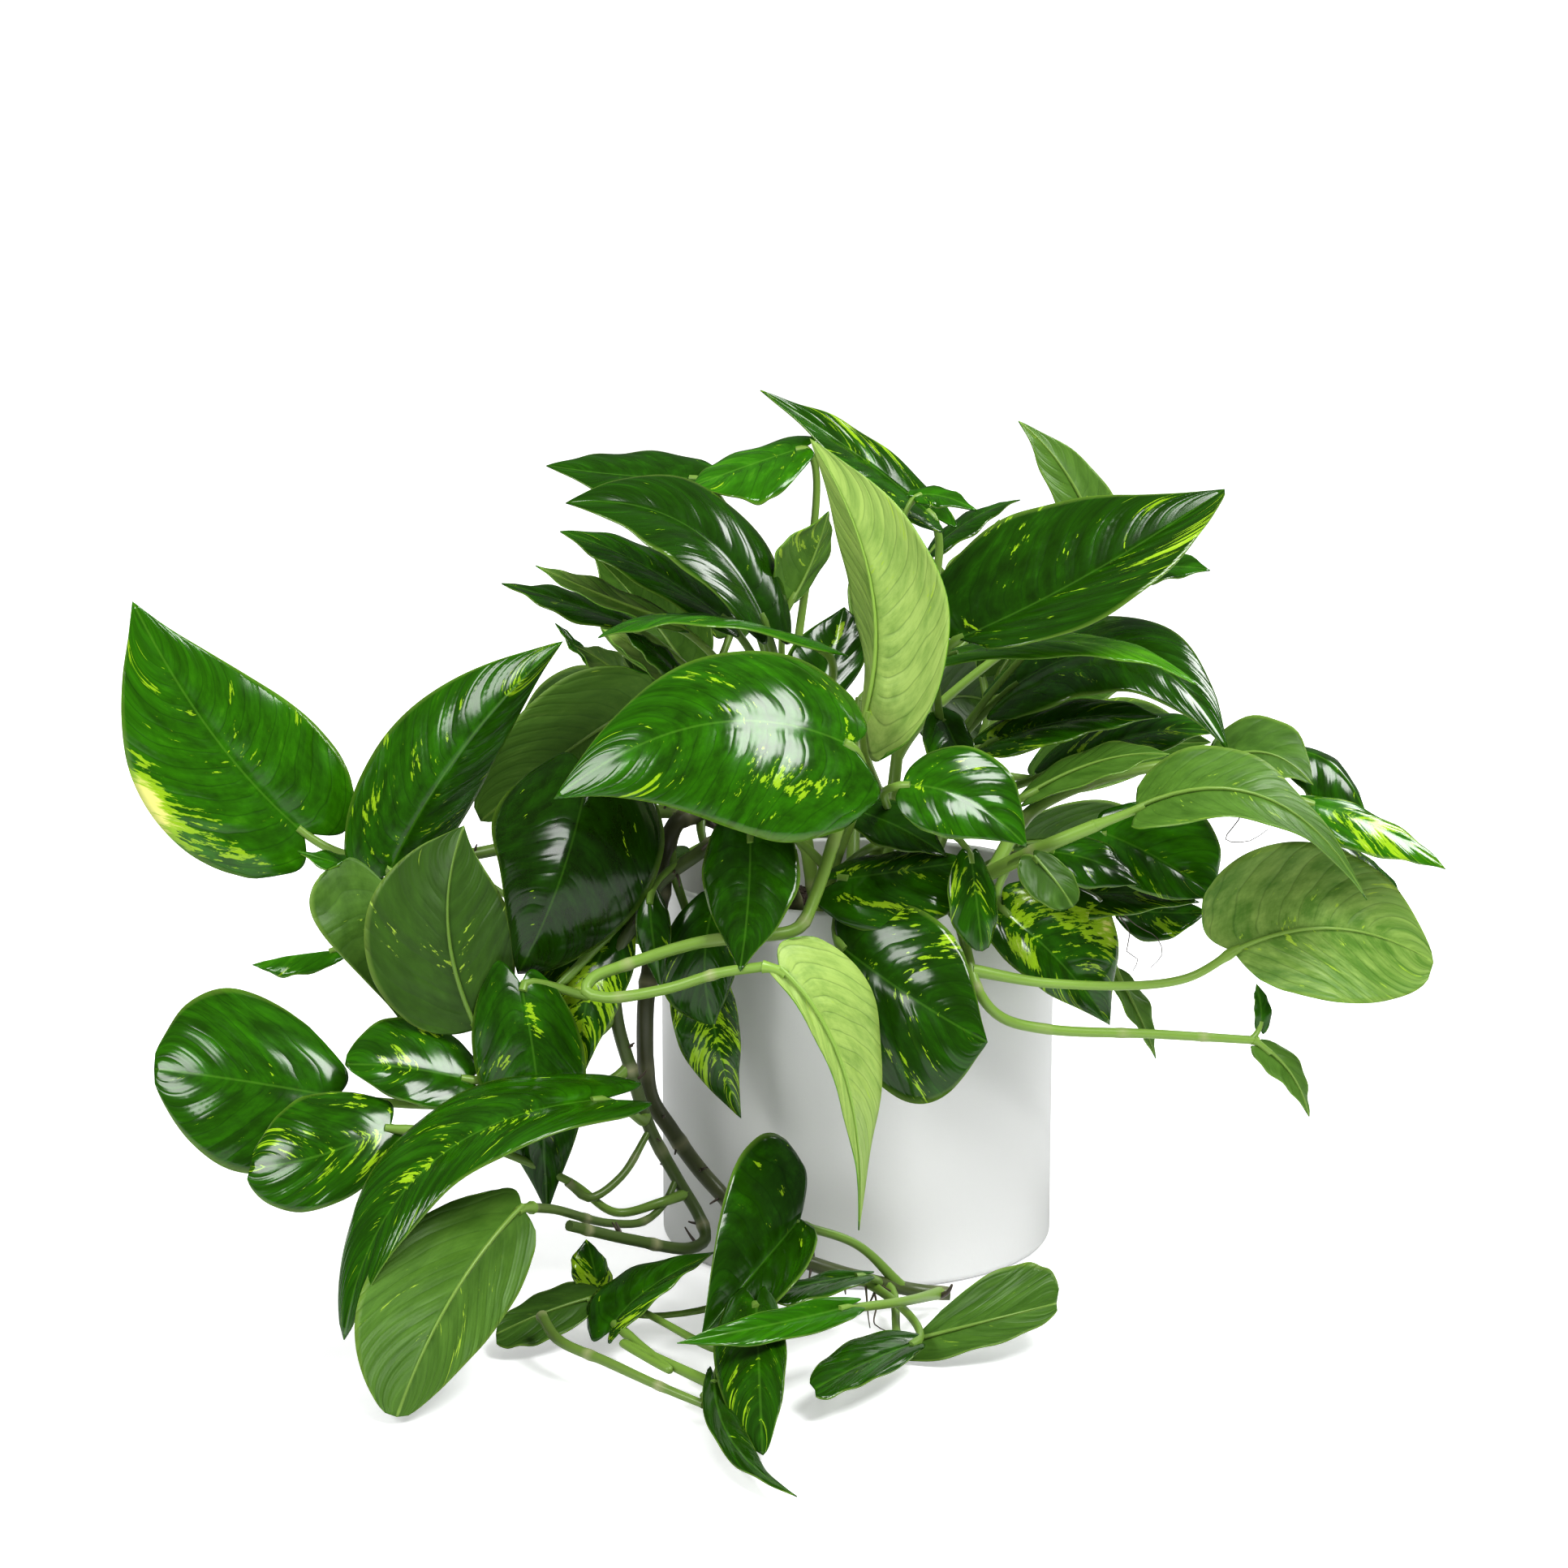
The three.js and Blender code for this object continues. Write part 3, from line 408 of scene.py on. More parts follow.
def blade_sheet(spots, extras, phase):
    """The blade's middle surface as rows of points, its markings' coordinates, midrib, heading and length."""
    base, middle, tip, left, right = (place_of(spot) for spot in spots)
    twist = math.radians(extras.get("twist", 0))
    lobes = extras.get("lobes", (1, 1))
    blunt = extras.get("blunt", (0, 0))
    control = 2 * middle - (base + tip) / 2

    def point(t):
        """A place on the blade's middle line, at a share of the way to its tip."""
        return (1 - t) ** 2 * base + 2 * t * (1 - t) * control + t * t * tip

    def forward(t):
        """The middle line's direction there."""
        return unit((1 - t) * (control - base) + t * (tip - control))

    def sideways(t):
        """The direction across the blade there."""
        return rolled(turned_onto(across, ahead, forward(t)), forward(t), twist * (t - WIDEST))

    steps = np.array([point(t) for t in np.linspace(0, 1, LENGTH_STEPS)])
    length = np.linalg.norm(np.diff(steps, axis=0), axis=1).sum()
    ahead = forward(WIDEST)
    across = unit((right - left) - ahead * ((right - left) @ ahead))
    axes = ahead, across, np.cross(across, ahead)
    reaches = [np.array([(edge - point(WIDEST)) @ axis for axis in axes]) for edge in (left, right)]
    width = sum(np.linalg.norm(reach[1:]) for reach in reaches)
    rows = int(np.clip(length * ROWS_PER_METRE, *FEWEST_AND_MOST_ROWS))
    half_columns = int(np.clip(width * COLUMNS_PER_METRE, *FEWEST_AND_MOST_COLUMNS))
    sheet, marks = [], []
    for row in range(rows + 1):
        t = (row / rows) ** ROW_CROWDING
        centre, onward, outward = point(t), forward(t), sideways(t)
        upward = np.cross(outward, onward)
        pointed = half_width(t)
        rounded = math.sqrt(1 - ((t - WIDEST) / (1 - WIDEST)) ** 2) if t > WIDEST else pointed
        places, coordinates = [], []
        for q in np.linspace(-1, 1, 2 * half_columns + 1):
            share, side = abs(q), 0 if q < 0 else 1
            reach = reaches[side] * (pointed + blunt[side] * (rounded - pointed)) * share
            forth, aside, above = reach
            back = LOBE * lobes[side] * (1 - t) ** 4 * math.sin(share * LOBE_TURN) * length
            bulge = CAMBER * abs(aside) * (1 - share)
            ripple = WAVE * share**2 * math.sin(WAVE_TURN * t + phase + np.sign(q)) * (1 - t) * 2 * t
            frill = FRILL * share**3 * math.sin(FRILL_TURN * t + 2 * phase + 2 * np.sign(q))
            frill *= min(1, 4 * (1 - t))
            sweep = 0.1 + (0.16 + 0.14 * blunt[side]) * min(1, t / 0.3)
            vein = (t - sweep * share**1.3) * length / VEIN_SPACING
            puff = PUFF * math.sin(math.pi * vein) * math.sin(math.pi * share) * min(1, 3 * (1 - t))
            lift = above + bulge + ripple + frill + puff
            places.append(centre + onward * (forth - back) + outward * aside + upward * lift)
            coordinates.append((100 * math.copysign(math.hypot(aside, above), q), vein, share, t))
        sheet.append(places)
        marks.append(coordinates)
    midrib = [(point(t), np.cross(sideways(t), forward(t))) for t in np.linspace(*MIDRIB_SHARES)]
    return np.array(sheet), np.array(marks), midrib, forward(0), length


def smooth_line(knots, places):
    """Points on a smooth line through knots, at places counted in knots from the first."""
    knots = [2 * knots[0] - knots[1], *knots, 2 * knots[-1] - knots[-2]]
    line = []
    for place in places:
        i = min(int(place), len(knots) - 4)
        u = place - i
        a, b, c, d = knots[i:i + 4]
        gaps = [math.sqrt(np.linalg.norm(q - p)) for p, q in ((a, b), (b, c), (c, d))]
        first = ((b - a) / gaps[0] - (c - a) / (gaps[0] + gaps[1]) + (c - b) / gaps[1]) * gaps[1]
        second = ((c - b) / gaps[1] - (d - b) / (gaps[1] + gaps[2]) + (d - c) / gaps[2]) * gaps[1]
        line.append(
            b + first * u + (3 * (c - b) - 2 * first - second) * u**2
            + (2 * (b - c) + first + second) * u**3
        )
    return np.array(line)


def stem_line(spots):
    """A smooth line through places on a stem, with points about a step apart."""
    knots = [place_of(spot) for spot in spots]
    counts = [max(2, int(np.linalg.norm(b - a) / STEM_STEP)) for a, b in zip(knots, knots[1:])]
    places = [i + k / count for i, count in enumerate(counts) for k in range(count)]
    return smooth_line(knots, [*places, len(counts)])


def point_along(line, share):
    """The point and direction at a share of a line's length."""
    gone = np.r_[0, np.cumsum(np.linalg.norm(np.diff(line, axis=0), axis=1))]
    here = min(share, 1) * gone[-1]
    i = int(np.clip(np.searchsorted(gone, here), 1, len(line) - 1))
    u = (here - gone[i - 1]) / (gone[i] - gone[i - 1])
    return line[i - 1] * (1 - u) + line[i] * u, unit(line[i] - line[i - 1])


def stalk_line(line, share, base, arrival, via):
    """A leaf stalk's line: out of its stem and into the midrib from behind."""
    start, heading = point_along(line, share)
    end = base + arrival * STALK_LAP
    if via:
        knots = [start, *[place_of(spot) for spot in via], end]
        return smooth_line(knots, np.linspace(0, len(knots) - 1, LONG_STALK_STEPS))
    span = np.linalg.norm(end - start)
    a = start + (heading + unit(end - start)) / 2 * span * STALK_LEAN
    b = end - arrival * min(span * STALK_ARRIVAL, LONGEST_ARRIVAL)
    t = np.linspace(0, 1, max(FEWEST_STALK_STEPS, int(span / STALK_STEP)))[:, None]
    return (1 - t) ** 3 * start + 3 * (1 - t) ** 2 * t * a + 3 * (1 - t) * t * t * b + t**3 * end


def calculator(tree):
    """A function that adds one sum of numbers or sockets to a tree and gives its result."""
    return lambda operation, *terms: add_node(
        tree, "ShaderNodeMath", dict(enumerate(terms)), operation=operation,
    ).outputs[0]


def smooth_step(tree, value, start, end):
    """Zero up to a start and one from an end, with a smooth rise between them."""
    return add_node(
        tree, "ShaderNodeMapRange", {"Value": value, "From Min": start, "From Max": end},
        interpolation_type="SMOOTHSTEP",
    ).outputs[0]


def stalk_tree():
    """Round fleshy stalks along the edges of a mesh, swollen and ringed where leaves or roots leave them."""
    group, given = geometry_group(
        "Stalks along paths", ("Ring spacing", "Float"), ("Swelling", "Float"), ("Sides", "Int"),
        ("Skin", "Material"),
    )
    calc = calculator(group)
    girth, knotted = (
        add_node(group, "GeometryNodeInputNamedAttribute", {"Name": name}, data_type="FLOAT").outputs[0]
        for name in ("girth", "knotted")
    )
    curves = add_node(group, "GeometryNodeMeshToCurve", {"Mesh": given["Geometry"]})
    gone = group.nodes.new("GeometryNodeSplineParameter").outputs["Length"]
    turn = calc("FRACT", calc("DIVIDE", gone, given["Ring spacing"]))
    near = calc("ABSOLUTE", calc("SUBTRACT", turn, 0.5))
    ring = calc("MULTIPLY", smooth_step(group, near, 0.42, 0.5), knotted)
    swollen = calc("ADD", calc("MULTIPLY", ring, given["Swelling"]), 1.0)
    ringed = add_node(
        group, "GeometryNodeStoreNamedAttribute", {0: curves.outputs[0], "Name": "ring", "Value": ring},
        data_type="FLOAT", domain="POINT",
    )
    section = add_node(
        group, "GeometryNodeCurvePrimitiveCircle", {"Resolution": given["Sides"], "Radius": 1.0},
    )
    skin = add_node(group, "GeometryNodeCurveToMesh", {
        "Curve": ringed.outputs[0], "Profile Curve": section.outputs[0],
        "Scale": calc("MULTIPLY", swollen, girth), "Fill Caps": True,
    })
    end_group(group, skin.outputs[0], given["Skin"])
    return group


def shader_group(name, inputs, outputs):
    """An empty shader node group that takes a blade place and floats, and gives floats."""
    group = bpy.data.node_groups.new(name, "ShaderNodeTree")
    group.interface.new_socket("Blade place", in_out="INPUT", socket_type="NodeSocketVector")
    for title in inputs:
        group.interface.new_socket(title, in_out="INPUT", socket_type="NodeSocketFloat")
    for title in outputs:
        group.interface.new_socket(title, in_out="OUTPUT", socket_type="NodeSocketFloat")
    given = group.nodes.new("NodeGroupInput").outputs
    result = group.nodes.new("NodeGroupOutput").inputs
    place = add_node(group, "ShaderNodeSeparateXYZ", {0: given["Blade place"]}).outputs
    return group, given, result, place["X"], place["Y"], calculator(group)


def vein_group():
    """Midrib, side veins and the quilted skin between them, from a place on the blade."""
    group, given, result, x, y, calc = shader_group("Leaf veins", ["Seed"], ["Midrib", "Veins", "Quilt"])
    aside = calc("ABSOLUTE", x)
    drift = add_node(group, "ShaderNodeCombineXYZ", {
        "X": x, "Y": calc("MULTIPLY", y, 0.35), "Z": given["Seed"],
    })
    wander = noise(group, drift.outputs[0], scale=0.9, detail=1.0)
    number = calc("ADD", y, calc("MULTIPLY", wander, 0.7))

    def nearness(count):
        """One on a vein and zero midway between two."""
        return calc("MULTIPLY", calc("ABSOLUTE", calc("SUBTRACT", calc("FRACT", count), 0.5)), 2.0)

    near, finer = nearness(number), nearness(calc("MULTIPLY", number, 3.0))
    small = calc("MULTIPLY", smooth_step(group, finer, 0.8, 1.0), 0.25)
    lines = calc("MAXIMUM", smooth_step(group, near, 0.86, 1.0), small)
    puffed = calc("SUBTRACT", 1.0, calc("POWER", near, 2.0))
    fine_puff = calc("MULTIPLY", calc("SUBTRACT", 1.0, finer), 0.2)
    fade = smooth_step(group, aside, 0.05, 0.5)
    group.links.new(calc("SUBTRACT", 1.0, smooth_step(group, aside, 0.02, 0.065)), result["Midrib"])
    group.links.new(calc("MULTIPLY", lines, fade), result["Veins"])
    group.links.new(calc("MULTIPLY", calc("ADD", puffed, fine_puff), fade), result["Quilt"])
    return group


def gold_group():
    """Flecks and streaks that follow the side veins, and broad pale and dark sectors, from a blade place."""
    group, given, result, x, y, calc = shader_group(
        "Gold marks", ["Seed", "Amount"], ["Gold", "Sectors", "Cream", "Mottle"],
    )

    def streaks(across, along, seed, detail):
        """A random pattern drawn out along the veins."""
        at = add_node(group, "ShaderNodeCombineXYZ", {
            "X": calc("MULTIPLY", x, across), "Y": calc("MULTIPLY", y, along),
            "Z": calc("MULTIPLY", given["Seed"], seed),
        })
        return noise(group, at.outputs[0], scale=1.0, detail=detail, roughness=0.65)

    fine = calc("MULTIPLY", streaks(across=2.1, along=3.6, seed=7.13, detail=4.0), 0.55)
    cluster = calc("MULTIPLY", streaks(across=0.6, along=0.45, seed=3.7, detail=2.0), 0.45)
    start = calc("SUBTRACT", 0.65, calc("MULTIPLY", given["Amount"], 0.15))
    above = calc("SUBTRACT", calc("ADD", fine, cluster), start)
    group.links.new(smooth_step(group, above, 0.0, 0.022), result["Gold"])
    broad = streaks(across=0.5, along=1.1, seed=11.3, detail=4.0)
    group.links.new(smooth_step(group, broad, 0.36, 0.66), result["Sectors"])
    group.links.new(smooth_step(group, above, 0.08, 0.2), result["Cream"])
    group.links.new(streaks(across=1.5, along=1.0, seed=5.9, detail=5.0), result["Mottle"])
    return group


LEAF_VEINS = vein_group()
GOLD_MARKS = gold_group()


def attribute(tree, name):
    """A number that the mesh carries at each of its points."""
    return add_node(tree, "ShaderNodeAttribute", attribute_name=name).outputs["Fac"]


def leaf_side(name, roughness, gloss, relief, greens, gold, cream, rib, vein, margin, sectors, mottling):
    """One side of a leaf: greens by tone and sector, gold marks, veins, and the relief between veins."""
    material, tree, surface, place = new_material(name, roughness)
    calc = calculator(tree)
    effects = {"Blade place": add_node(tree, "ShaderNodeUVMap", uv_map="blade").outputs["UV"]}
    effects["Seed"] = attribute(tree, "seed")
    veins = add_node(tree, "ShaderNodeGroup", effects, node_tree=LEAF_VEINS).outputs
    effects["Amount"] = attribute(tree, "gold")
    marks = add_node(tree, "ShaderNodeGroup", effects, node_tree=GOLD_MARKS).outputs
    tone = attribute(tree, "tone")
    sector = calc("MULTIPLY", calc("SUBTRACT", marks["Sectors"], 0.5), sectors)
    mottle = calc("MULTIPLY", calc("SUBTRACT", marks["Mottle"], 0.5), mottling)
    ramp = add_node(tree, "ShaderNodeValToRGB", {"Fac": calc("ADD", tone, calc("ADD", sector, mottle))})
    ramp.color_ramp.elements[0].color = greens[0]
    ramp.color_ramp.elements[1].color = greens[-1]
    for i, green in enumerate(greens[1:-1], 1):
        ramp.color_ramp.elements.new(i / (len(greens) - 1)).color = green
    *vein_colour, vein_strength = vein
    *rib_colour, rib_strength = rib
    *margin_colour, margin_strength = margin
    veined = blend(
        tree, calc("MULTIPLY", veins["Veins"], vein_strength), ramp.outputs["Color"], (*vein_colour, 1),
    )
    golden = blend(tree, marks["Cream"], gold, cream)
    marked = blend(tree, calc("MULTIPLY", marks["Gold"], 0.92), veined, golden)
    ribbing = calc("MULTIPLY", calc("ADD", tone, 0.25), rib_strength)
    ribbed = blend(tree, calc("MULTIPLY", veins["Midrib"], ribbing), marked, (*rib_colour, 1))
    edge = add_node(tree, "ShaderNodeMapRange", {
        "Value": attribute(tree, "edge"), "From Min": 0.93, "From Max": 1.0, "To Max": margin_strength,
    })
    tree.links.new(blend(tree, edge.outputs[0], ribbed, (*margin_colour, 1)), surface["Base Color"])
    surface["Specular IOR Level"].default_value = gloss
    wax = calc("MULTIPLY", noise(tree, place, scale=90.0, detail=3.0), 0.08)
    tree.links.new(calc("ADD", roughness, wax), surface["Roughness"])
    pores = calc("MULTIPLY", noise(tree, place, scale=1500.0), 0.06)
    raise_surface(tree, surface, calc("ADD", veins["Quilt"], pores), strength=1.0, distance=relief)
    return material


# The fourth number of a vein, rib or margin colour is its strength.
UPPER_SIDE = leaf_side(
    "waxy upper side", roughness=0.12, gloss=0.42, relief=0.00008,
    greens=[
        (0.007, 0.026, 0.0006, 1), (0.014, 0.066, 0.0008, 1), (0.032, 0.165, 0.0012, 1),
        (0.100, 0.330, 0.010, 1),
    ],
    gold=(0.30, 0.50, 0.015, 1), cream=(0.80, 0.76, 0.24, 1), rib=(0.10, 0.27, 0.02, 0.5),
    vein=(0.006, 0.030, 0.001, 0.4), margin=(0.22, 0.38, 0.05, 0.5), sectors=0.16, mottling=0.75,
)
UNDER_SIDE = leaf_side(
    "matt underside", roughness=0.37, gloss=0.22, relief=0.0002,
    greens=[
        (0.022, 0.055, 0.006, 1), (0.045, 0.115, 0.011, 1), (0.105, 0.225, 0.030, 1),
        (0.350, 0.490, 0.125, 1),
    ],
    gold=(0.34, 0.50, 0.05, 1), cream=(0.60, 0.64, 0.16, 1), rib=(0.28, 0.43, 0.09, 0.8),
    vein=(0.040, 0.100, 0.012, 0.35), margin=(0.30, 0.45, 0.08, 0.4), sectors=0.08, mottling=0.6,
)

STALK_SKIN, tree, surface, place = new_material("stalk skin", roughness=0.38)
blotches = noise(tree, place, scale=120.0, detail=4.0)
fresh = blend(tree, attribute(tree, "tone"), DEEP_GREEN, FRESH_GREEN)
aged = blend(tree, attribute(tree, "age"), fresh, blend(tree, blotches, BARK_DARK, BARK_LIGHT))
scar = calculator(tree)("MULTIPLY", attribute(tree, "ring"), 0.55)
tree.links.new(blend(tree, scar, aged, RING_CREAM), surface["Base Color"])
raise_surface(tree, surface, blotches, strength=0.3, distance=0.0005)
STALKS = stalk_tree()


def set_attribute(mesh, name, values):
    """Gives each point of a mesh a number under a name."""
    values = np.asarray(values, np.float32)
    mesh.attributes.new(name, "FLOAT", "POINT").data.foreach_set("value", values)


def blades_piece(name, blades):
    """All the blades of a stem as one piece, thin solids with the looks that their skins read."""
    points, marks, looks, faces = [], [], [], []
    first = 0
    for sheet, mark, tone, gold, seed, splashes in blades:
        rows, columns = sheet.shape[:2]
        points.append(np.vstack([sheet[:-1].reshape(-1, 3), sheet[-1, 0]]))
        mark = np.vstack([mark[:-1].reshape(-1, 4), mark[-1, columns // 2]])
        look = np.column_stack([np.full((len(mark), 3), (tone, gold, seed)), mark[:, 2]])
        signed = np.copysign(mark[:, 2], mark[:, 0])
        for along, aside, reach, strength in splashes:
            near = ((mark[:, 3] - along) / reach) ** 2
            near += ((signed - aside) / (SPLASH_SPREAD * reach)) ** 2
            look[:, 1] += strength * np.exp(-near)
        marks.append(mark)
        looks.append(look)
        starts = [first + r * columns + c for r in range(rows - 2) for c in range(columns - 1)]
        faces += [(a, a + 1, a + columns + 1, a + columns) for a in starts]
        last, first = first + (rows - 2) * columns, first + len(mark)
        faces += [(last + c, last + c + 1, first - 1) for c in range(columns - 1)]
    piece = make_piece(name, np.vstack(points), faces, UPPER_SIDE, UNDER_SIDE)
    for title, values in zip(("tone", "gold", "seed", "edge"), np.vstack(looks).T):
        set_attribute(piece.data, title, values)
    corner = np.zeros(len(piece.data.loops), np.int32)
    piece.data.loops.foreach_get("vertex_index", corner)
    blade_map = piece.data.uv_layers.new(name="blade")
    blade_map.data.foreach_set("uv", np.vstack(marks)[corner, :2].astype(np.float32).ravel())
    thicken = piece.modifiers.new("thickness", "SOLIDIFY")
    thicken.thickness = BLADE_THICKNESS
    thicken.offset = 0
    thicken.material_offset = 1
    thick = plain_mesh(piece)
    piece.modifiers.clear()
    piece.data = thick
    return piece


def short_roots(line, chance):
    """The stubby brown roots that an old stem puts out along its length."""
    roots = []
    for share in np.arange(*ROOT_SHARES):
        start, heading = point_along(line, share)
        for _ in range(chance.choice(ROOTS_AT_ONE_PLACE)):
            out = np.array([chance.uniform(-1, 1) for _ in range(3)])
            out = unit(out - heading * (out @ heading))
            reach = chance.uniform(*ROOT_REACH)
            steps = np.linspace(0, 1, ROOT_STEPS)[:, None]
            lean = chance.uniform(-ROOT_LEAN, ROOT_LEAN)
            root = start + out * steps * reach + heading * steps**2 * reach * lean
            root[:, 2] = np.maximum(root[:, 2], ROOT_REST)
            roots.append((root, np.linspace(*ROOT_GIRTH, ROOT_STEPS), 0.5, 1.0, 0.0))
    return roots


def stalks_mesh(paths):
    """A mesh of stalks along paths, each a line with its girth, tone, age and whether it has rings."""
    mesh = bpy.data.meshes.new("paths")
    ends = np.cumsum([0] + [len(path[0]) for path in paths])
    edges = [(a + k, a + k + 1) for a, b in zip(ends, ends[1:]) for k in range(b - a - 1)]
    mesh.from_pydata(np.vstack([path[0] for path in paths]).tolist(), edges, [])
    for column, name in enumerate(("girth", "tone", "age", "knotted"), 1):
        spread = [np.broadcast_to(path[column], len(path[0])) for path in paths]
        set_attribute(mesh, name, np.concatenate(spread))
    guide = bpy.data.objects.new("paths", mesh)
    bpy.context.scene.collection.objects.link(guide)
    stalks = grown_mesh(guide, STALKS, "stalks", {
        "Ring spacing": RING_SPACING, "Swelling": RING_SWELLING, "Sides": STALK_SIDES, "Skin": STALK_SKIN,
    })
    stalks.polygons.foreach_set("use_smooth", [True] * len(stalks.polygons))
    bpy.data.objects.remove(guide)
    return stalks


def leafy_stem(node, order, stems, leaves, rootlets=()):
    """Grows one leafy stem in place of its CAD node, with its blades, stalks, midribs and roots."""
    lines = [stem_line(spots) for radius, age, spots in stems]
    paths, blades = [], []
    for (radius, age, spots), line in zip(stems, lines):
        along = np.linspace(0, 1, len(line))
        girth = radius / MM_PER_METRE * (STEM_GIRTH - STEM_TAPER * along**2)
        tone = max(DARKEST_STEM, STEM_TONE - age)
        paths.append((line, girth, tone, age * (1 - TIP_YOUTH * along), 1.0))
    for i, (at, *spots, tone, gold, extras) in enumerate((*leaf, {})[:9] for leaf in leaves):
        sheet, mark, midrib, arrival, length = blade_sheet(spots, extras, 2 * i + order)
        blades.append((sheet, mark, tone, gold, i * 1.7 + order * 2.3, extras.get("splash", ())))
        stem = min(int(at), len(stems) - 1)
        stalk = stalk_line(lines[stem], at - stem, place_of(spots[0]), arrival, extras.get("via"))
        along = np.linspace(0, 1, len(stalk))
        size = min(MOST_STALK_SIZE, STALK_SIZE + length * SIZE_PER_METRE)
        knee = KNEE_SWELLING * np.exp(-(((along - KNEE_SHARE) / KNEE_REACH) ** 2))
        swelling = FOOT_SWELLING * (1 - along) ** 4 + knee
        girth = STALK_RADIUS * size * (STALK_GIRTH + swelling)
        paths.append((stalk, girth, STALK_TONE + TONE_OF_BLADE * tone, 0.0, 0.0))
        ridge = np.linspace(*RIDGE, len(midrib)) * size
        rib = np.array([point - up * radius for (point, up), radius in zip(midrib, ridge)])
        paths.append((rib, ridge, RIB_TONE + TONE_OF_BLADE * tone, 0.0, 0.0))
    chance = random.Random(order)
    for (radius, age, spots), line in zip(stems, lines):
        if len(spots) > ROOTED_PLACES and age > ROOTED_AGE:
            paths += short_roots(line, chance)
    for radius, spots in rootlets:
        root = stem_line(spots)
        girth = radius / MM_PER_METRE * np.linspace(1, THREAD_TIP, len(root))
        paths.append((root, girth, 0.1, 1.0, 0.0))
    piece = blades_piece(node + "_leaves", blades)
    join_onto(piece, stalks_mesh(paths))
    put_in_place(piece, node)


# Every place on the plant is (pixels across, pixels down, millimetres behind the pot's axis), as it shows in
# a picture 1932 pixels square taken from EYE. A stem is (radius in mm, age from 0 to 1, places). A leaf is
# (share of the way up its stem, with 1 added on a second stem, then the places of its base, middle, tip, left
# edge and right edge, its tone from 0 dark to 1 pale, its gold, extras). Extras are a twist in degrees, the
# sizes of both lobes, how blunt both halves are, the places that a long stalk passes, and splashes of gold,
# each (share along, share across, reach, strength).
leafy_stem("upper_left", order=0, stems=[
    (3.2, 0.1, [(1020, 1190, 0), (1000, 1080, 0), (985, 980, 5), (970, 890, 10)]),
], leaves=[
    (0.98, (858, 590, 28), (765, 586, 28), (673, 574, 20), (805, 622, 8), (800, 557, 48), 0.32, 0.15),
    (0.9, (990, 552, 14), (920, 575, 10), (848, 602, -8), (945, 618, -10), (925, 552, 26), 0.62, 0.5),
    (0.85, (940, 765, -38), (845, 648, -38), (697, 620, -55), (835, 692, -70), (917, 640, -10), 0.25, 0.1),
    (0.75, (895, 765, -12), (790, 696, -12), (690, 655, -14), (800, 729, -32), (834, 690, 8), 0.4, 0.15),
    (0.68, (828, 768, -24), (742, 735, -24), (660, 697, -22), (765, 726, -8), (770, 758, -38), 0.7, 0.1),
    (0.62, (775, 770, 2), (695, 742, 4), (618, 719, 2), (705, 763, -14), (722, 735, 16), 0.28, 0.25),
    (0.7, (1012, 798, -50), (850, 762, -62), (737, 786, -74), (900, 775, -88), (900, 768, -34), 0.6, 0.1),
    (0.55, (822, 835, -50), (785, 800, -52), (742, 776, -54), (805, 795, -40), (790, 822, -64), 0.85, 0.1),
    (0.5, (780, 848, -4), (745, 818, -2), (708, 796, 0), (762, 808, 16), (745, 838, -18), 0.7, 0.1),
    (0.6, (835, 830, -64), (805, 800, -68), (770, 778, -72), (805, 822, -78), (825, 805, -58), 0.5, 0.1),
    (0.45, (735, 825, 12), (712, 800, 12), (684, 768, 12), (716, 812, 6), (728, 806, 18), 0.7, 0.1),
    (0.95, (975, 738, -12), (1000, 690, -6), (1021, 630, -2), (1018, 688, 2), (958, 680, -22), 0.55, 0.6),
    (0.92, (900, 690, 45), (880, 650, 55), (850, 600, 62), (865, 660, 75), (905, 640, 45), 0.3, 0.1),
    (0.7, (1008, 862, 2), (1024, 806, 14), (1040, 748, 24), (968, 812, 4), (1068, 806, 18), 0.25, 0.2,
        {"splash": [(0.72, 0.1, 0.12, 1.4)]}),
])


# Crown stem: the tallest cutting, nearly upright in the middle of the pot. Its largest leaf is young and pale
# lime, and stands with its matt underside to the front; the others arch over the top and back.
leafy_stem("crown", order=1, stems=[
    (3.2, 0.1, [(1080, 1190, 10), (1090, 1080, 10), (1100, 980, 15), (1110, 890, 25)]),
], leaves=[
    (0.5, (1066, 885, -72), (1074, 718, -70), (998, 540, -62), (1168, 785, -86), (1060, 778, -46), 0.93,
        0.1, {"twist": 35, "lobes": (1, 0.4)}),
    (0.98, (1148, 635, 22), (1052, 558, 30), (937, 481, 12), (1075, 612, 0), (1102, 562, 40), 0.4, 0.35,
        {"splash": [(0.6, 0.9, 0.3, 0.5)]}),
    (0.92, (1128, 612, -8), (1160, 612, -6), (1205, 630, -14), (1150, 600, 0), (1148, 626, -18), 0.5, 0.2),
    (0.9, (1155, 672, 52), (1205, 636, 56), (1257, 616, 60), (1180, 640, 66), (1192, 662, 42), 0.4, 0.1),
    (0.85, (1356, 690, 42), (1319, 594, 34), (1255, 519, 30), (1376, 630, 52), (1312, 642, 24), 0.55, 0.1),
    (0.95, (1200, 780, 60), (1250, 720, 75), (1290, 655, 95), (1200, 730, 80), (1270, 740, 60), 0.25, 0.2),
])


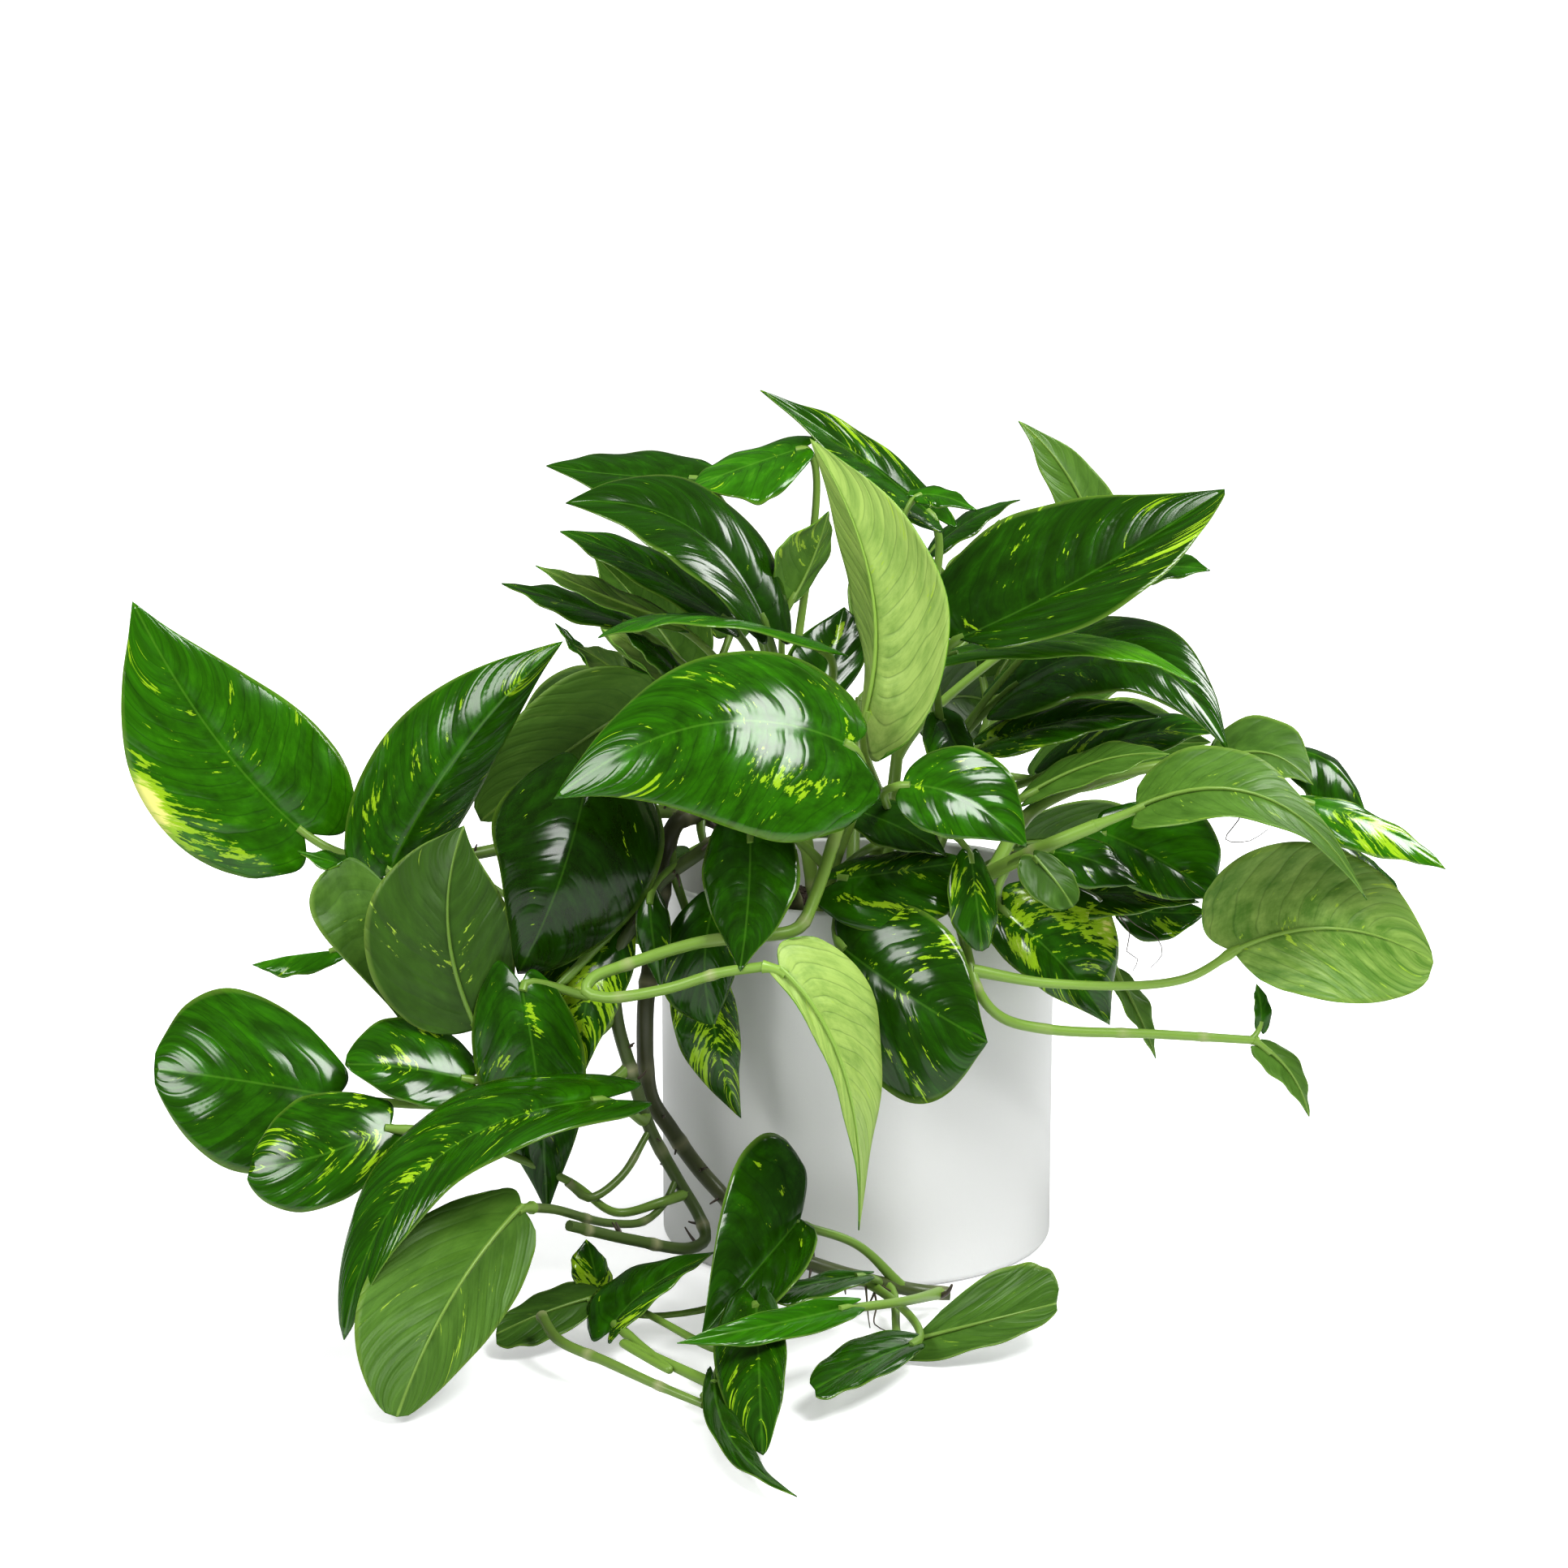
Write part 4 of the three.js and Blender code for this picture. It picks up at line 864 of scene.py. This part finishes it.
# Upper right stem: an upright cutting whose leaves fan out to the right, one above another, on stalks of
# much the same length. The topmost blade is broad, dark and gold-flecked towards its tip.
leafy_stem("right_upper", order=2, stems=[
    (3.2, 0.1, [(1110, 1190, -10), (1130, 1090, -15), (1150, 1000, -20), (1165, 930, -20)]),
], leaves=[
    (0.9, (1179, 788, -62), (1335, 712, -58), (1509, 603, -42), (1240, 639, -38), (1362, 758, -84), 0.26,
        0.25, {"lobes": (1, 0), "blunt": (0, 0.2), "splash": [(0.8, 0.8, 0.22, 0.8)]}),
    (0.97, (1385, 712, -8), (1440, 700, -10), (1491, 703, -14), (1415, 682, 4), (1415, 722, -22), 0.45, 0.2),
    (0.95, (1248, 848, -14), (1395, 808, -22), (1513, 925, -44), (1364, 760, 8), (1325, 862, -48), 0.35, 0.1),
    # The fourth blade's pale tone is painted sheen: it stands for the whitish reflection that lies along this
    # narrow leaf.
    (0.85, (1172, 808, -42), (1345, 792, -56), (1475, 845, -68), (1290, 780, -36), (1285, 808, -64),
        0.85, 0.05),
    (0.7, (1222, 915, -32), (1330, 885, -28), (1430, 884, -34), (1290, 868, -14), (1300, 918, -50), 0.45,
        0.5),
    (0.6, (1272, 978, -58), (1360, 938, -60), (1442, 930, -62), (1345, 962, -74), (1330, 926, -46), 0.45,
        0.1),
    (0.65, (1300, 950, -12), (1410, 905, -8), (1500, 903, -8), (1370, 885, 8), (1385, 945, -26), 0.45, 0.5),
    (0.8, (1160, 884, -34), (1180, 925, -50), (1190, 965, -66), (1195, 900, -42), (1140, 925, -58), 0.35,
        0.2),
])


# Right reaching stem: a green stem that leans out over the rim and forks. It carries long arched blades,
# light green beneath, and a tuft of narrow gold-streaked young leaves at the far right.
leafy_stem("right_reach", order=3, stems=[
    (3.4, 0, [(1095, 1190, -30), (1150, 1110, -48), (1221, 1075, -80), (1290, 1042, -92), (1350, 1017, -95)]),
    (2.8, 0, [(1221, 1075, -80), (1272, 999, -48), (1340, 965, -40), (1420, 945, -38), (1500, 938, -36)]),
], leaves=[
    (0.99, (1402, 997, -95), (1560, 985, -98), (1684, 1109, -82), (1490, 1010, -118), (1503, 919, -72),
        0.52, 0.2, {"lobes": (0.1, 0.1)}),
    (1.9, (1505, 938, -44), (1565, 930, -48), (1618, 968, -52), (1540, 962, -62), (1550, 881, -28), 0.42,
        0.1),
    (1.93, (1590, 925, -36), (1645, 945, -42), (1684, 1008, -50), (1632, 930, -24), (1612, 980, -48),
        0.35, 0.3),
    (1.97, (1610, 990, -66), (1700, 1020, -62), (1781, 1071, -62), (1682, 996, -54), (1668, 1048, -76),
        0.6, 0.7),
    (1.99, (1652, 1040, -48), (1700, 1072, -44), (1734, 1116, -42), (1686, 1058, -40), (1674, 1070, -52),
        0.45, 0.2),
    (0.68, (1274, 1056, -102), (1302, 1088, -108), (1322, 1118, -109), (1264, 1096, -110),
        (1316, 1070, -104), 0.32, 0.1, {"blunt": (0.9, 0.9)}),
], rootlets=[
    (0.35, [(1500, 938, -36), (1530, 1000, -34), (1510, 1034, -34), (1540, 1036, -32), (1562, 1022, -32)]),
])


# Right runner: one thin young green stem that comes down through the leaves and reaches out level to the
# right. It ends in two small new leaves, and a large pale blade hangs from a long stalk above it.
leafy_stem("right_runner", order=4, stems=[
    (2.2, 0, [(1110, 1190, -40), (1138, 1100, -58), (1178, 1130, -88), (1207, 1224, -106),
        (1235, 1254, -103), (1290, 1268, -98), (1420, 1274, -84), (1550, 1282, -70)]),
], leaves=[
    (0.42, (1519, 1172, -66), (1645, 1144, -64), (1766, 1186, -56), (1650, 1235, -78), (1570, 1040, -60),
        0.75, 0.35, {"lobes": (0.1, 0.5), "blunt": (0.9, 0.2),
        "via": [(1300, 1212, -94), (1460, 1206, -72)]}),
    (0.985, (1553, 1268, -68), (1553, 1240, -67), (1548, 1212, -66), (1545, 1246, -68),
        (1566, 1246, -66), 0.45, 0.1),
    (0.99, (1558, 1292, -70), (1593, 1328, -68), (1613, 1376, -66), (1564, 1322, -74), (1598, 1306, -62),
        0.5, 0.2),
])


# Low right stem: a short stem bent over the rim at the right. Its leaves hang low under the upper ones and
# are the most heavily splashed with cream and gold, and two thread-like roots hang in the air below them.
leafy_stem("right_low", order=5, stems=[
    (3.2, 0.2, [(1130, 1190, -10), (1180, 1100, -20), (1240, 1060, -30), (1300, 1060, -38),
        (1345, 1090, -42)]),
], leaves=[
    (0.6, (1236, 1124, -80), (1305, 1185, -82), (1367, 1263, -74), (1356, 1108, -66), (1248, 1192, -92),
        0.4, 0.6, {"splash": [(0.35, -0.5, 0.17, 0.6), (0.5, -0.85, 0.13, 1.3), (0.3, 0.6, 0.13, 0.9)]}),
    (0.97, (1378, 1206, -48), (1404, 1255, -50), (1424, 1304, -50), (1384, 1238, -56), (1410, 1228, -42),
        0.6, 0.1),
    (0.9, (1300, 1108, -62), (1390, 1100, -60), (1478, 1112, -58), (1365, 1082, -50), (1365, 1130, -74),
        0.4, 0.6),
    (0.95, (1355, 1025, -62), (1430, 1060, -58), (1500, 1108, -50), (1474, 1000, -44), (1395, 1095, -72),
        0.5, 0.15),
    (0.8, (1290, 1050, -78), (1350, 1062, -78), (1405, 1092, -74), (1350, 1035, -68), (1325, 1090, -88),
        0.4, 0.1),
    (0.98, (1385, 1120, -22), (1435, 1125, -20), (1488, 1124, -20), (1425, 1102, -12), (1420, 1160, -30),
        0.42, 0.6),
], rootlets=[
    (0.35, [(1345, 1090, -42), (1392, 1150, -34), (1388, 1172, -34), (1402, 1182, -32), (1396, 1196, -32)]),
    (0.35, [(1345, 1090, -42), (1400, 1140, -36), (1426, 1156, -34), (1432, 1176, -34), (1418, 1192, -32)]),
])


# Middle stem: a short cutting at the front of the pot, whose small round leaves fill the space under the
# broad front leaf and lie over the rim.
leafy_stem("middle", order=6, stems=[
    (3, 0.1, [(1050, 1190, -20), (1062, 1110, -32), (1080, 1050, -45), (1095, 1010, -55)]),
], leaves=[
    (0.95, (1112, 968, -108), (1190, 985, -112), (1265, 1044, -114), (1210, 926, -100),
        (1148, 1028, -120), 0.46, 0.3, {"lobes": (0.2, 0.4)}),
    (0.9, (1056, 1000, -74), (1112, 1022, -80), (1167, 1056, -88), (1110, 990, -68), (1082, 1040, -88),
        0.25, 0.1),
    (0.8, (1036, 1084, -90), (1120, 1072, -92), (1202, 1060, -86), (1092, 1050, -80), (1112, 1148, -104),
        0.42, 0.48, {"lobes": (1.4, 1.8), "blunt": (0.2, 0.7), "splash": [(0.1, -0.4, 0.12, 0.8)]}),
    (0.85, (1196, 1055, -98), (1203, 1112, -104), (1210, 1172, -106), (1227, 1105, -98),
        (1168, 1112, -108), 0.4, 0.5, {"blunt": (0.7, 0.4)}),
    (0.7, (1035, 1165, -98), (1128, 1232, -118), (1217, 1284, -128), (1150, 1130, -106),
        (1098, 1348, -122), 0.3, 0.35, {"splash": [(0.2, -0.8, 0.1, 0.6), (0.5, -0.9, 0.12, 0.5)]}),
])


# Front cascading stem: it rises, turns over and runs out to the left and back again in a pale green loop. It
# carries the broadest leaf in front, a hanging dark one, and a long lime leaf at its end, twisted down.
leafy_stem("front_cascade", order=7, stems=[
    (2.6, 0, [(1010, 1190, -40), (1020, 1100, -58), (1039, 1002, -92), (1004, 1105, -106),
        (984, 1143, -112), (930, 1154, -116), (863, 1161, -119), (774, 1188, -124), (729, 1206, -128),
        (722, 1221, -131), (745, 1229, -134), (819, 1219, -138), (886, 1199, -142), (940, 1191, -144)]),
], leaves=[
    (0.13, (1048, 919, -112), (868, 893, -126), (682, 985, -128), (950, 1037, -138), (945, 803, -98),
        0.48, 0.22, {"lobes": (1, 0.3), "splash": [(0.22, -0.5, 0.12, 0.5)]}),
    (0.16, (925, 1030, -112), (922, 1115, -128), (912, 1197, -146), (985, 1072, -126), (866, 1070, -106),
        0.33, 0.1),
    (1, (961, 1194, -145), (1040, 1325, -150), (1058, 1516, -140), (995, 1262, -152), (1076, 1224, -130),
        0.95, 0.1, {"twist": -40, "lobes": (0.2, 0.5)}),
])


# Left reaching stem: it arches over the rim and out to the far left, nearly level. The largest heart-shaped
# leaf stands at its end with a cream patch on its lower edge, and broad leaves hang along it.
leafy_stem("left_reach", order=8, stems=[
    (3, 0.3, [(990, 1190, 5), (960, 1070, -8), (870, 1005, -22), (740, 1010, -46), (620, 1045, -48),
        (500, 1062, -40), (430, 1056, -34)]),
], leaves=[
    (1, (374, 1026, -34), (262, 905, -40), (163, 741, -42), (200, 1022, -52), (398, 902, -24), 0.56,
        0.22, {"lobes": (0.7, 0.7), "splash": [(0.41, -0.97, 0.1, 2.8), (0.2, -0.8, 0.17, 0.8)]}),
    (0.9, (478, 1077, -62), (573, 918, -66), (694, 790, -64), (456, 934, -48), (568, 1014, -52), 0.45,
        0.35, {"lobes": (0.6, 0.5)}),
    (0.42, (790, 868, -28), (700, 925, -28), (592, 1012, -30), (684, 842, -28), (765, 970, -30), 0.6,
        0.1, {"blunt": (0.8, 0.2)}),
    (0.55, (724, 955, -98), (690, 1085, -118), (638, 1200, -106), (815, 1060, -101), (606, 1010, -92),
        0.12, 0.1, {"blunt": (0.8, 0.3)}),
    (0.92, (467, 1079, -44), (415, 1064, -46), (366, 1049, -46), (425, 1082, -54), (428, 1056, -38),
        0.55, 0.1),
    (0.85, (478, 1092, -76), (498, 1180, -82), (498, 1264, -80), (384, 1128, -86), (560, 1150, -72),
        0.45, 0.1, {"lobes": (1.6, 1)}),
    (0.94, (415, 1172, -44), (360, 1178, -46), (311, 1189, -46), (372, 1202, -52), (378, 1180, -38),
        0.65, 0.1),
    (0.8, (700, 1180, -60), (670, 1210, -62), (640, 1240, -66), (690, 1220, -70), (660, 1195, -54), 0.25,
        0.1),
])


# Left trailing stems: older green-brown stems that hang down the pot's side to the surface, with pale rings
# at their joints and short roots. Their large leaves spread to the left and rest near the surface.
leafy_stem("trailing_left", order=9, stems=[
    (2.8, 0.6, [(1000, 1190, -25), (965, 1075, -45), (900, 1030, -72), (853, 1057, -90), (810, 1090, -96),
        (790, 1126, -98), (764, 1170, -98), (757, 1215, -98), (761, 1261, -98), (777, 1317, -98),
        (801, 1391, -95), (834, 1452, -94), (862, 1500, -98), (869, 1526, -104), (850, 1538, -112),
        (780, 1528, -128), (701, 1510, -150)]),
    (1.8, 0.35, [(655, 1488, -160), (682, 1490, -150), (750, 1507, -122), (793, 1505, -110),
        (817, 1485, -102), (834, 1452, -94)]),
    (1.7, 0.25, [(700, 1456, -118), (725, 1476, -116), (765, 1450, -108), (801, 1391, -95)]),
], leaves=[
    (0.36, (588, 1268, -108), (552, 1140, -106), (572, 1017, -96), (632, 1150, -104), (450, 1175, -104),
        0.22, 0.2, {"lobes": (0.6, 0.2)}),
    (0.5, (642, 1212, -116), (664, 1350, -126), (674, 1494, -120), (720, 1302, -112), (584, 1305, -112),
        0.4, 0.2, {"lobes": (0.6, 1),
        "splash": [(0.2, -0.1, 0.1, 0.8), (0.5, -0.15, 0.1, 0.8), (0.3, 0.5, 0.08, 0.6)]}),
    (0.52, (577, 1331, -112), (500, 1316, -118), (425, 1312, -122), (528, 1366, -126), (508, 1252, -98),
        0.4, 0.3, {"blunt": (0.3, 0.3)}),
    (0.58, (415, 1352, -112), (300, 1332, -116), (190, 1317, -112), (306, 1446, -128), (294, 1219, -92),
        0.45, 0.2, {"blunt": (0.4, 0.45)}),
    (1, (643, 1487, -168), (556, 1600, -200), (489, 1746, -218), (462, 1555, -188), (628, 1612, -190),
        0.5, 0.12, {"lobes": (1, 0.1), "blunt": (0.45, 0.6)}),
    (0.64, (738, 1356, -142), (525, 1440, -172), (424, 1651, -192), (632, 1420, -176), (575, 1345, -136),
        0.4, 0.3, {"blunt": (0.4, 0.4),
        "splash": [(0.3, -0.1, 0.1, 0.5), (0.45, 0, 0.1, 0.55), (0.6, 0.1, 0.1, 0.5)]}),
    (0.74, (482, 1385, -130), (400, 1422, -142), (308, 1440, -142), (402, 1488, -150), (378, 1350, -126),
        0.4, 0.45, {"blunt": (0.5, 0.7),
        "via": [(813, 1482, -104), (760, 1494, -108), (700, 1455, -118), (560, 1400, -128)]}),
    (0.32, (752, 1150, -96), (722, 1240, -104), (716, 1332, -108), (775, 1210, -104), (662, 1205, -92),
        0.35, 0.95),
    (0.27, (800, 1105, -106), (805, 1160, -112), (815, 1220, -110), (826, 1140, -106), (784, 1145, -108),
        0.25, 0.1),
])


# Front trailing stems: the oldest, purple-brown and woody, down the front left of the pot and along its
# foot, with green side stems that lie on the surface and small mottled leaves. The first of the rootlets is
# the brown bud that ends the old stem; the others are roots that reach down from its joints.
leafy_stem("trailing_front", order=10, stems=[
    (3.6, 0.95, [(965, 1190, -22), (935, 1070, -36), (880, 1010, -58), (832, 1016, -78), (815, 1100, -80),
        (800, 1200, -85), (795, 1250, -88), (801, 1349, -84), (826, 1391, -80), (862, 1441, -78),
        (894, 1477, -82), (930, 1520, -102), (977, 1548, -116), (1060, 1575, -112), (1130, 1590, -104),
        (1171, 1594, -104)]),
    (2.4, 0.35, [(930, 1516, -100), (905, 1600, -130), (890, 1680, -178), (866, 1730, -214)]),
    (2, 0.2, [(667, 1621, -156), (687, 1650, -170), (750, 1679, -190), (813, 1708, -205), (866, 1730, -214)]),
], leaves=[
    (0.24, (880, 1110, -92), (868, 1190, -98), (880, 1266, -96), (908, 1180, -92), (812, 1195, -98),
        0.36, 0.3),
    (0.3, (868, 1190, -86), (885, 1290, -98), (913, 1378, -92), (908, 1248, -84), (828, 1258, -92), 0.32,
        0.8),
    (0.95, (986, 1502, -124), (926, 1573, -150), (864, 1648, -174), (985, 1575, -166), (922, 1410, -126),
        0.3, 0.05, {"lobes": (0, 1), "blunt": (0.4, 0), "via": [(1058, 1535, -112)]}),
    (1.5, (932, 1606, -176), (936, 1700, -218), (940, 1793, -252), (968, 1660, -204), (880, 1668, -196),
        0.32, 0.35, {"blunt": (0.4, 0.4)}),
    (1.95, (880, 1700, -206), (904, 1780, -252), (982, 1844, -290), (910, 1738, -226), (874, 1764, -244),
        0.22, 0.1),
    (0.99, (1040, 1612, -176), (935, 1636, -200), (834, 1655, -214), (985, 1648, -200),
        (975, 1607, -188), 0.58, 0.1, {"via": [(1110, 1604, -146)]}),
    (0.93, (1118, 1655, -152), (1212, 1630, -152), (1302, 1606, -142), (1190, 1668, -164),
        (1248, 1558, -130), 0.4, 0.1, {"lobes": (1, 0), "blunt": (0.8, 0.8)}),
    (0.9, (1128, 1656, -168), (1066, 1680, -190), (1004, 1712, -212), (1078, 1700, -202),
        (1056, 1650, -178), 0.33, 0.1, {"blunt": (0.9, 0.9)}),
    (0.92, (1062, 1572, -130), (990, 1585, -145), (926, 1604, -162), (1010, 1600, -158),
        (1005, 1570, -136), 0.35, 0.1),
    (1.85, (752, 1640, -152), (795, 1592, -142), (880, 1543, -126), (744, 1582, -132), (808, 1602, -154),
        0.4, 0.55, {"via": [(768, 1655, -165), (825, 1688, -186)]}),
    (1.6, (732, 1600, -134), (672, 1618, -142), (611, 1644, -150), (682, 1586, -128), (675, 1650, -154),
        0.35, 0.1, {"blunt": (0.8, 0.8)}),
    (1.3, (738, 1600, -122), (732, 1565, -120), (722, 1527, -116), (704, 1570, -126), (753, 1568, -114),
        0.4, 0.7),
], rootlets=[
    (1.3, [(1158, 1597, -108), (1168, 1592, -112), (1173, 1583, -114)]),
    (0.5, [(1066, 1577, -112), (1068, 1600, -124), (1070, 1624, -140), (1072, 1636, -148)]),
    (0.5, [(1074, 1580, -112), (1080, 1606, -126), (1078, 1632, -144), (1092, 1640, -150)]),
])


# Back stems: three cuttings that lean out over the back of the rim, one to the left, one behind the crown and
# one to the right. The photo doesn't show them; they are grown like the stems that do show.
leafy_stem("back_left", order=11, stems=[
    (3, 0.1, [(1010, 1190, 25), (960, 1080, 45), (900, 960, 70), (850, 860, 85)]),
], leaves=[
    (0.95, (850, 830, 95), (794, 752, 114), (732, 684, 112), (858, 724, 96), (747, 786, 88), 0.45, 0.2),
    (0.8, (800, 900, 90), (710, 889, 124), (621, 934, 129), (723, 820, 105), (716, 965, 98), 0.4, 0.2),
    (0.7, (860, 950, 80), (815, 872, 114), (793, 771, 125), (881, 836, 102), (756, 864, 95), 0.35, 0.1),
    (0.9, (900, 780, 100), (900, 702, 122), (889, 623, 120), (955, 708, 103), (844, 708, 103), 0.45, 0.4),
    (0.5, (850, 1050, 60), (794, 1095, 99), (749, 1162, 105), (748, 1072, 81), (844, 1155, 88), 0.35, 0.1),
])
leafy_stem("back_middle", order=12, stems=[
    (3, 0.1, [(1050, 1190, 30), (1050, 1080, 60), (1055, 960, 85), (1060, 860, 100)]),
], leaves=[
    (0.98, (1095, 830, 115), (1101, 729, 137), (1089, 640, 132), (1170, 727, 115), (1045, 727, 115),
        0.45, 0.2),
    (0.85, (1130, 880, 110), (1186, 858, 149), (1242, 880, 155), (1205, 919, 124), (1191, 795, 131), 0.4,
        0.2),
    (0.85, (1000, 880, 110), (933, 869, 149), (866, 902, 155), (940, 814, 124), (933, 938, 124), 0.4, 0.3),
    (0.7, (1060, 960, 100), (1060, 1005, 145), (1054, 1072, 156), (991, 1023, 120), (1129, 1023, 120),
        0.4, 0.1),
    (0.6, (1000, 990, 95), (955, 1057, 132), (910, 1147, 145), (910, 1050, 113), (1006, 1147, 124), 0.4, 0.1),
])
leafy_stem("back_right", order=13, stems=[
    (3, 0.1, [(1095, 1190, 25), (1140, 1080, 45), (1190, 960, 70), (1230, 860, 85)]),
], leaves=[
    (0.95, (1230, 830, 95), (1297, 740, 117), (1364, 673, 114), (1345, 788, 95), (1234, 712, 98), 0.5, 0.3),
    (0.8, (1260, 850, 90), (1350, 822, 124), (1450, 828, 124), (1344, 871, 98), (1344, 765, 104), 0.4, 0.2),
    (0.7, (1280, 960, 80), (1381, 926, 114), (1493, 915, 116), (1377, 965, 91), (1363, 862, 99), 0.4, 0.3),
    (0.9, (1200, 780, 100), (1217, 702, 122), (1231, 640, 118), (1273, 702, 102), (1163, 709, 107), 0.45,
        0.1),
    (0.55, (1250, 1040, 60), (1351, 1040, 99), (1452, 1074, 105), (1346, 1103, 78), (1360, 986, 88),
        0.35, 0.2),
])


# Floor: the plain white surface that the pot stands on and the lowest stems lie along. It glows for the
# camera alone,
# a painted light: dimly near the plant, where it lifts the shadows, and fully away from it, so that it runs
# into the white behind with no horizon.
FLOOR_HALF = 6.0
FLOOR_WHITE = (0.84, 0.84, 0.84, 1)
FLOOR_COOL = (0.82, 0.83, 0.84, 1)
GLOW_STARTS, GLOW_FULL = 0.35, 1.1
GLOW_NEAR, GLOW_FAR = 0.42, 1.0
floor_white, tree, surface, place = new_material("white floor", roughness=0.7)
drift = noise(tree, place, scale=3.0)
tree.links.new(blend(tree, drift, FLOOR_WHITE, FLOOR_COOL), surface["Base Color"])
away = add_node(tree, "ShaderNodeVectorMath", {0: place}, operation="LENGTH").outputs["Value"]
# Painted glow: dim near the plant, so that the shadows on the floor come out faint, and full far away.
painted_glow = add_node(tree, "ShaderNodeMapRange", {
    "Value": away, "From Min": GLOW_STARTS, "From Max": GLOW_FULL, "To Min": GLOW_NEAR, "To Max": GLOW_FAR,
})
seen = add_node(tree, "ShaderNodeLightPath").outputs["Is Camera Ray"]
surface["Emission Color"].default_value = (1, 1, 1, 1)
tree.links.new(calculator(tree)("MULTIPLY", painted_glow.outputs[0], seen), surface["Emission Strength"])
corners = [(x * FLOOR_HALF, y * FLOOR_HALF, 0) for x, y in ((-1, -1), (1, -1), (1, 1), (-1, 1))]
floor = make_piece("floor", corners, [(0, 1, 2, 3)], floor_white)


# Studio: white walls behind the plant that are dimmer on the camera's side and in the leaves' gloss. Square
# soft lamps stand at the front right, the left, high at the back left and low at the back right.
WALLS_FRONT, WALLS_BACK = 0.3, 0.42
WALLS_RISE_FROM, WALLS_RISE_TO = -0.1, 0.5
WALLS_IN_GLOSS = 0.25
LAMP_DISTANCE = 1.7
LAMP_TARGET = Vector((0, 0, 0.18))
world = bpy.data.worlds.new("studio")
bpy.context.scene.world = world
world.use_nodes = True
tree = world.node_tree
calc = calculator(tree)
seen = add_node(tree, "ShaderNodeTexCoord").outputs["Generated"]
walls = add_node(tree, "ShaderNodeMapRange", {
    "Value": add_node(tree, "ShaderNodeSeparateXYZ", {0: seen}).outputs["Y"],
    "From Min": WALLS_RISE_FROM, "From Max": WALLS_RISE_TO, "To Min": WALLS_FRONT, "To Max": WALLS_BACK,
}, interpolation_type="SMOOTHSTEP")
ray = add_node(tree, "ShaderNodeLightPath").outputs
mirrored = add_node(tree, "ShaderNodeMapRange", {
    "Value": ray["Is Glossy Ray"], "To Min": 1.0, "To Max": WALLS_IN_GLOSS,
})
dimmed = calc("MULTIPLY", walls.outputs[0], mirrored.outputs[0])
backdrop = tree.nodes["Background"].inputs
backdrop["Color"].default_value = (1, 1, 1, 1)
tree.links.new(calc("MAXIMUM", dimmed, ray["Is Camera Ray"]), backdrop["Strength"])


def soft_lamp(name, turn, rise, size, power, mirrored=True):
    """A square lamp that faces the plant, turned and raised by degrees from the camera's side."""
    lamp = bpy.data.lights.new(name, "AREA")
    lamp.shape = "SQUARE"
    lamp.size = size
    lamp.energy = power
    stand = bpy.data.objects.new(name, lamp)
    stand.visible_glossy = mirrored
    turn, rise = math.radians(turn), math.radians(rise)
    away = Vector((math.sin(turn) * math.cos(rise), -math.cos(turn) * math.cos(rise), math.sin(rise)))
    stand.location = away * LAMP_DISTANCE + LAMP_TARGET
    stand.rotation_euler = (-away).to_track_quat("-Z", "Y").to_euler()
    bpy.context.scene.collection.objects.link(stand)


soft_lamp("front right lamp", turn=42, rise=52, size=0.7, power=27)
soft_lamp("left lamp", turn=-45, rise=30, size=0.6, power=13)
soft_lamp("overhead lamp", turn=-160, rise=72, size=1.1, power=11, mirrored=False)
soft_lamp("right rim lamp", turn=122, rise=32, size=0.5, power=8)


# Camera: it stands in front of the plant and looks slightly down on it, from the place and with the field
# of view that all the places on the plant go by.
SENSOR_WIDTH = 36
camera = bpy.data.cameras.new("camera")
camera.sensor_width = SENSOR_WIDTH
camera.lens = SENSOR_WIDTH * FOCAL_PIXELS / (2 * PICTURE_MIDDLE)
stand = bpy.data.objects.new("camera", camera)
stand.location = EYE
stand.rotation_euler = (math.pi / 2 - TILT, 0, 0)
bpy.context.scene.collection.objects.link(stand)
bpy.context.scene.camera = stand
bpy.context.scene.view_settings.view_transform = "Standard"
bpy.context.scene.view_settings.gamma = 0.88
bpy.context.scene.view_settings.exposure = 0.15
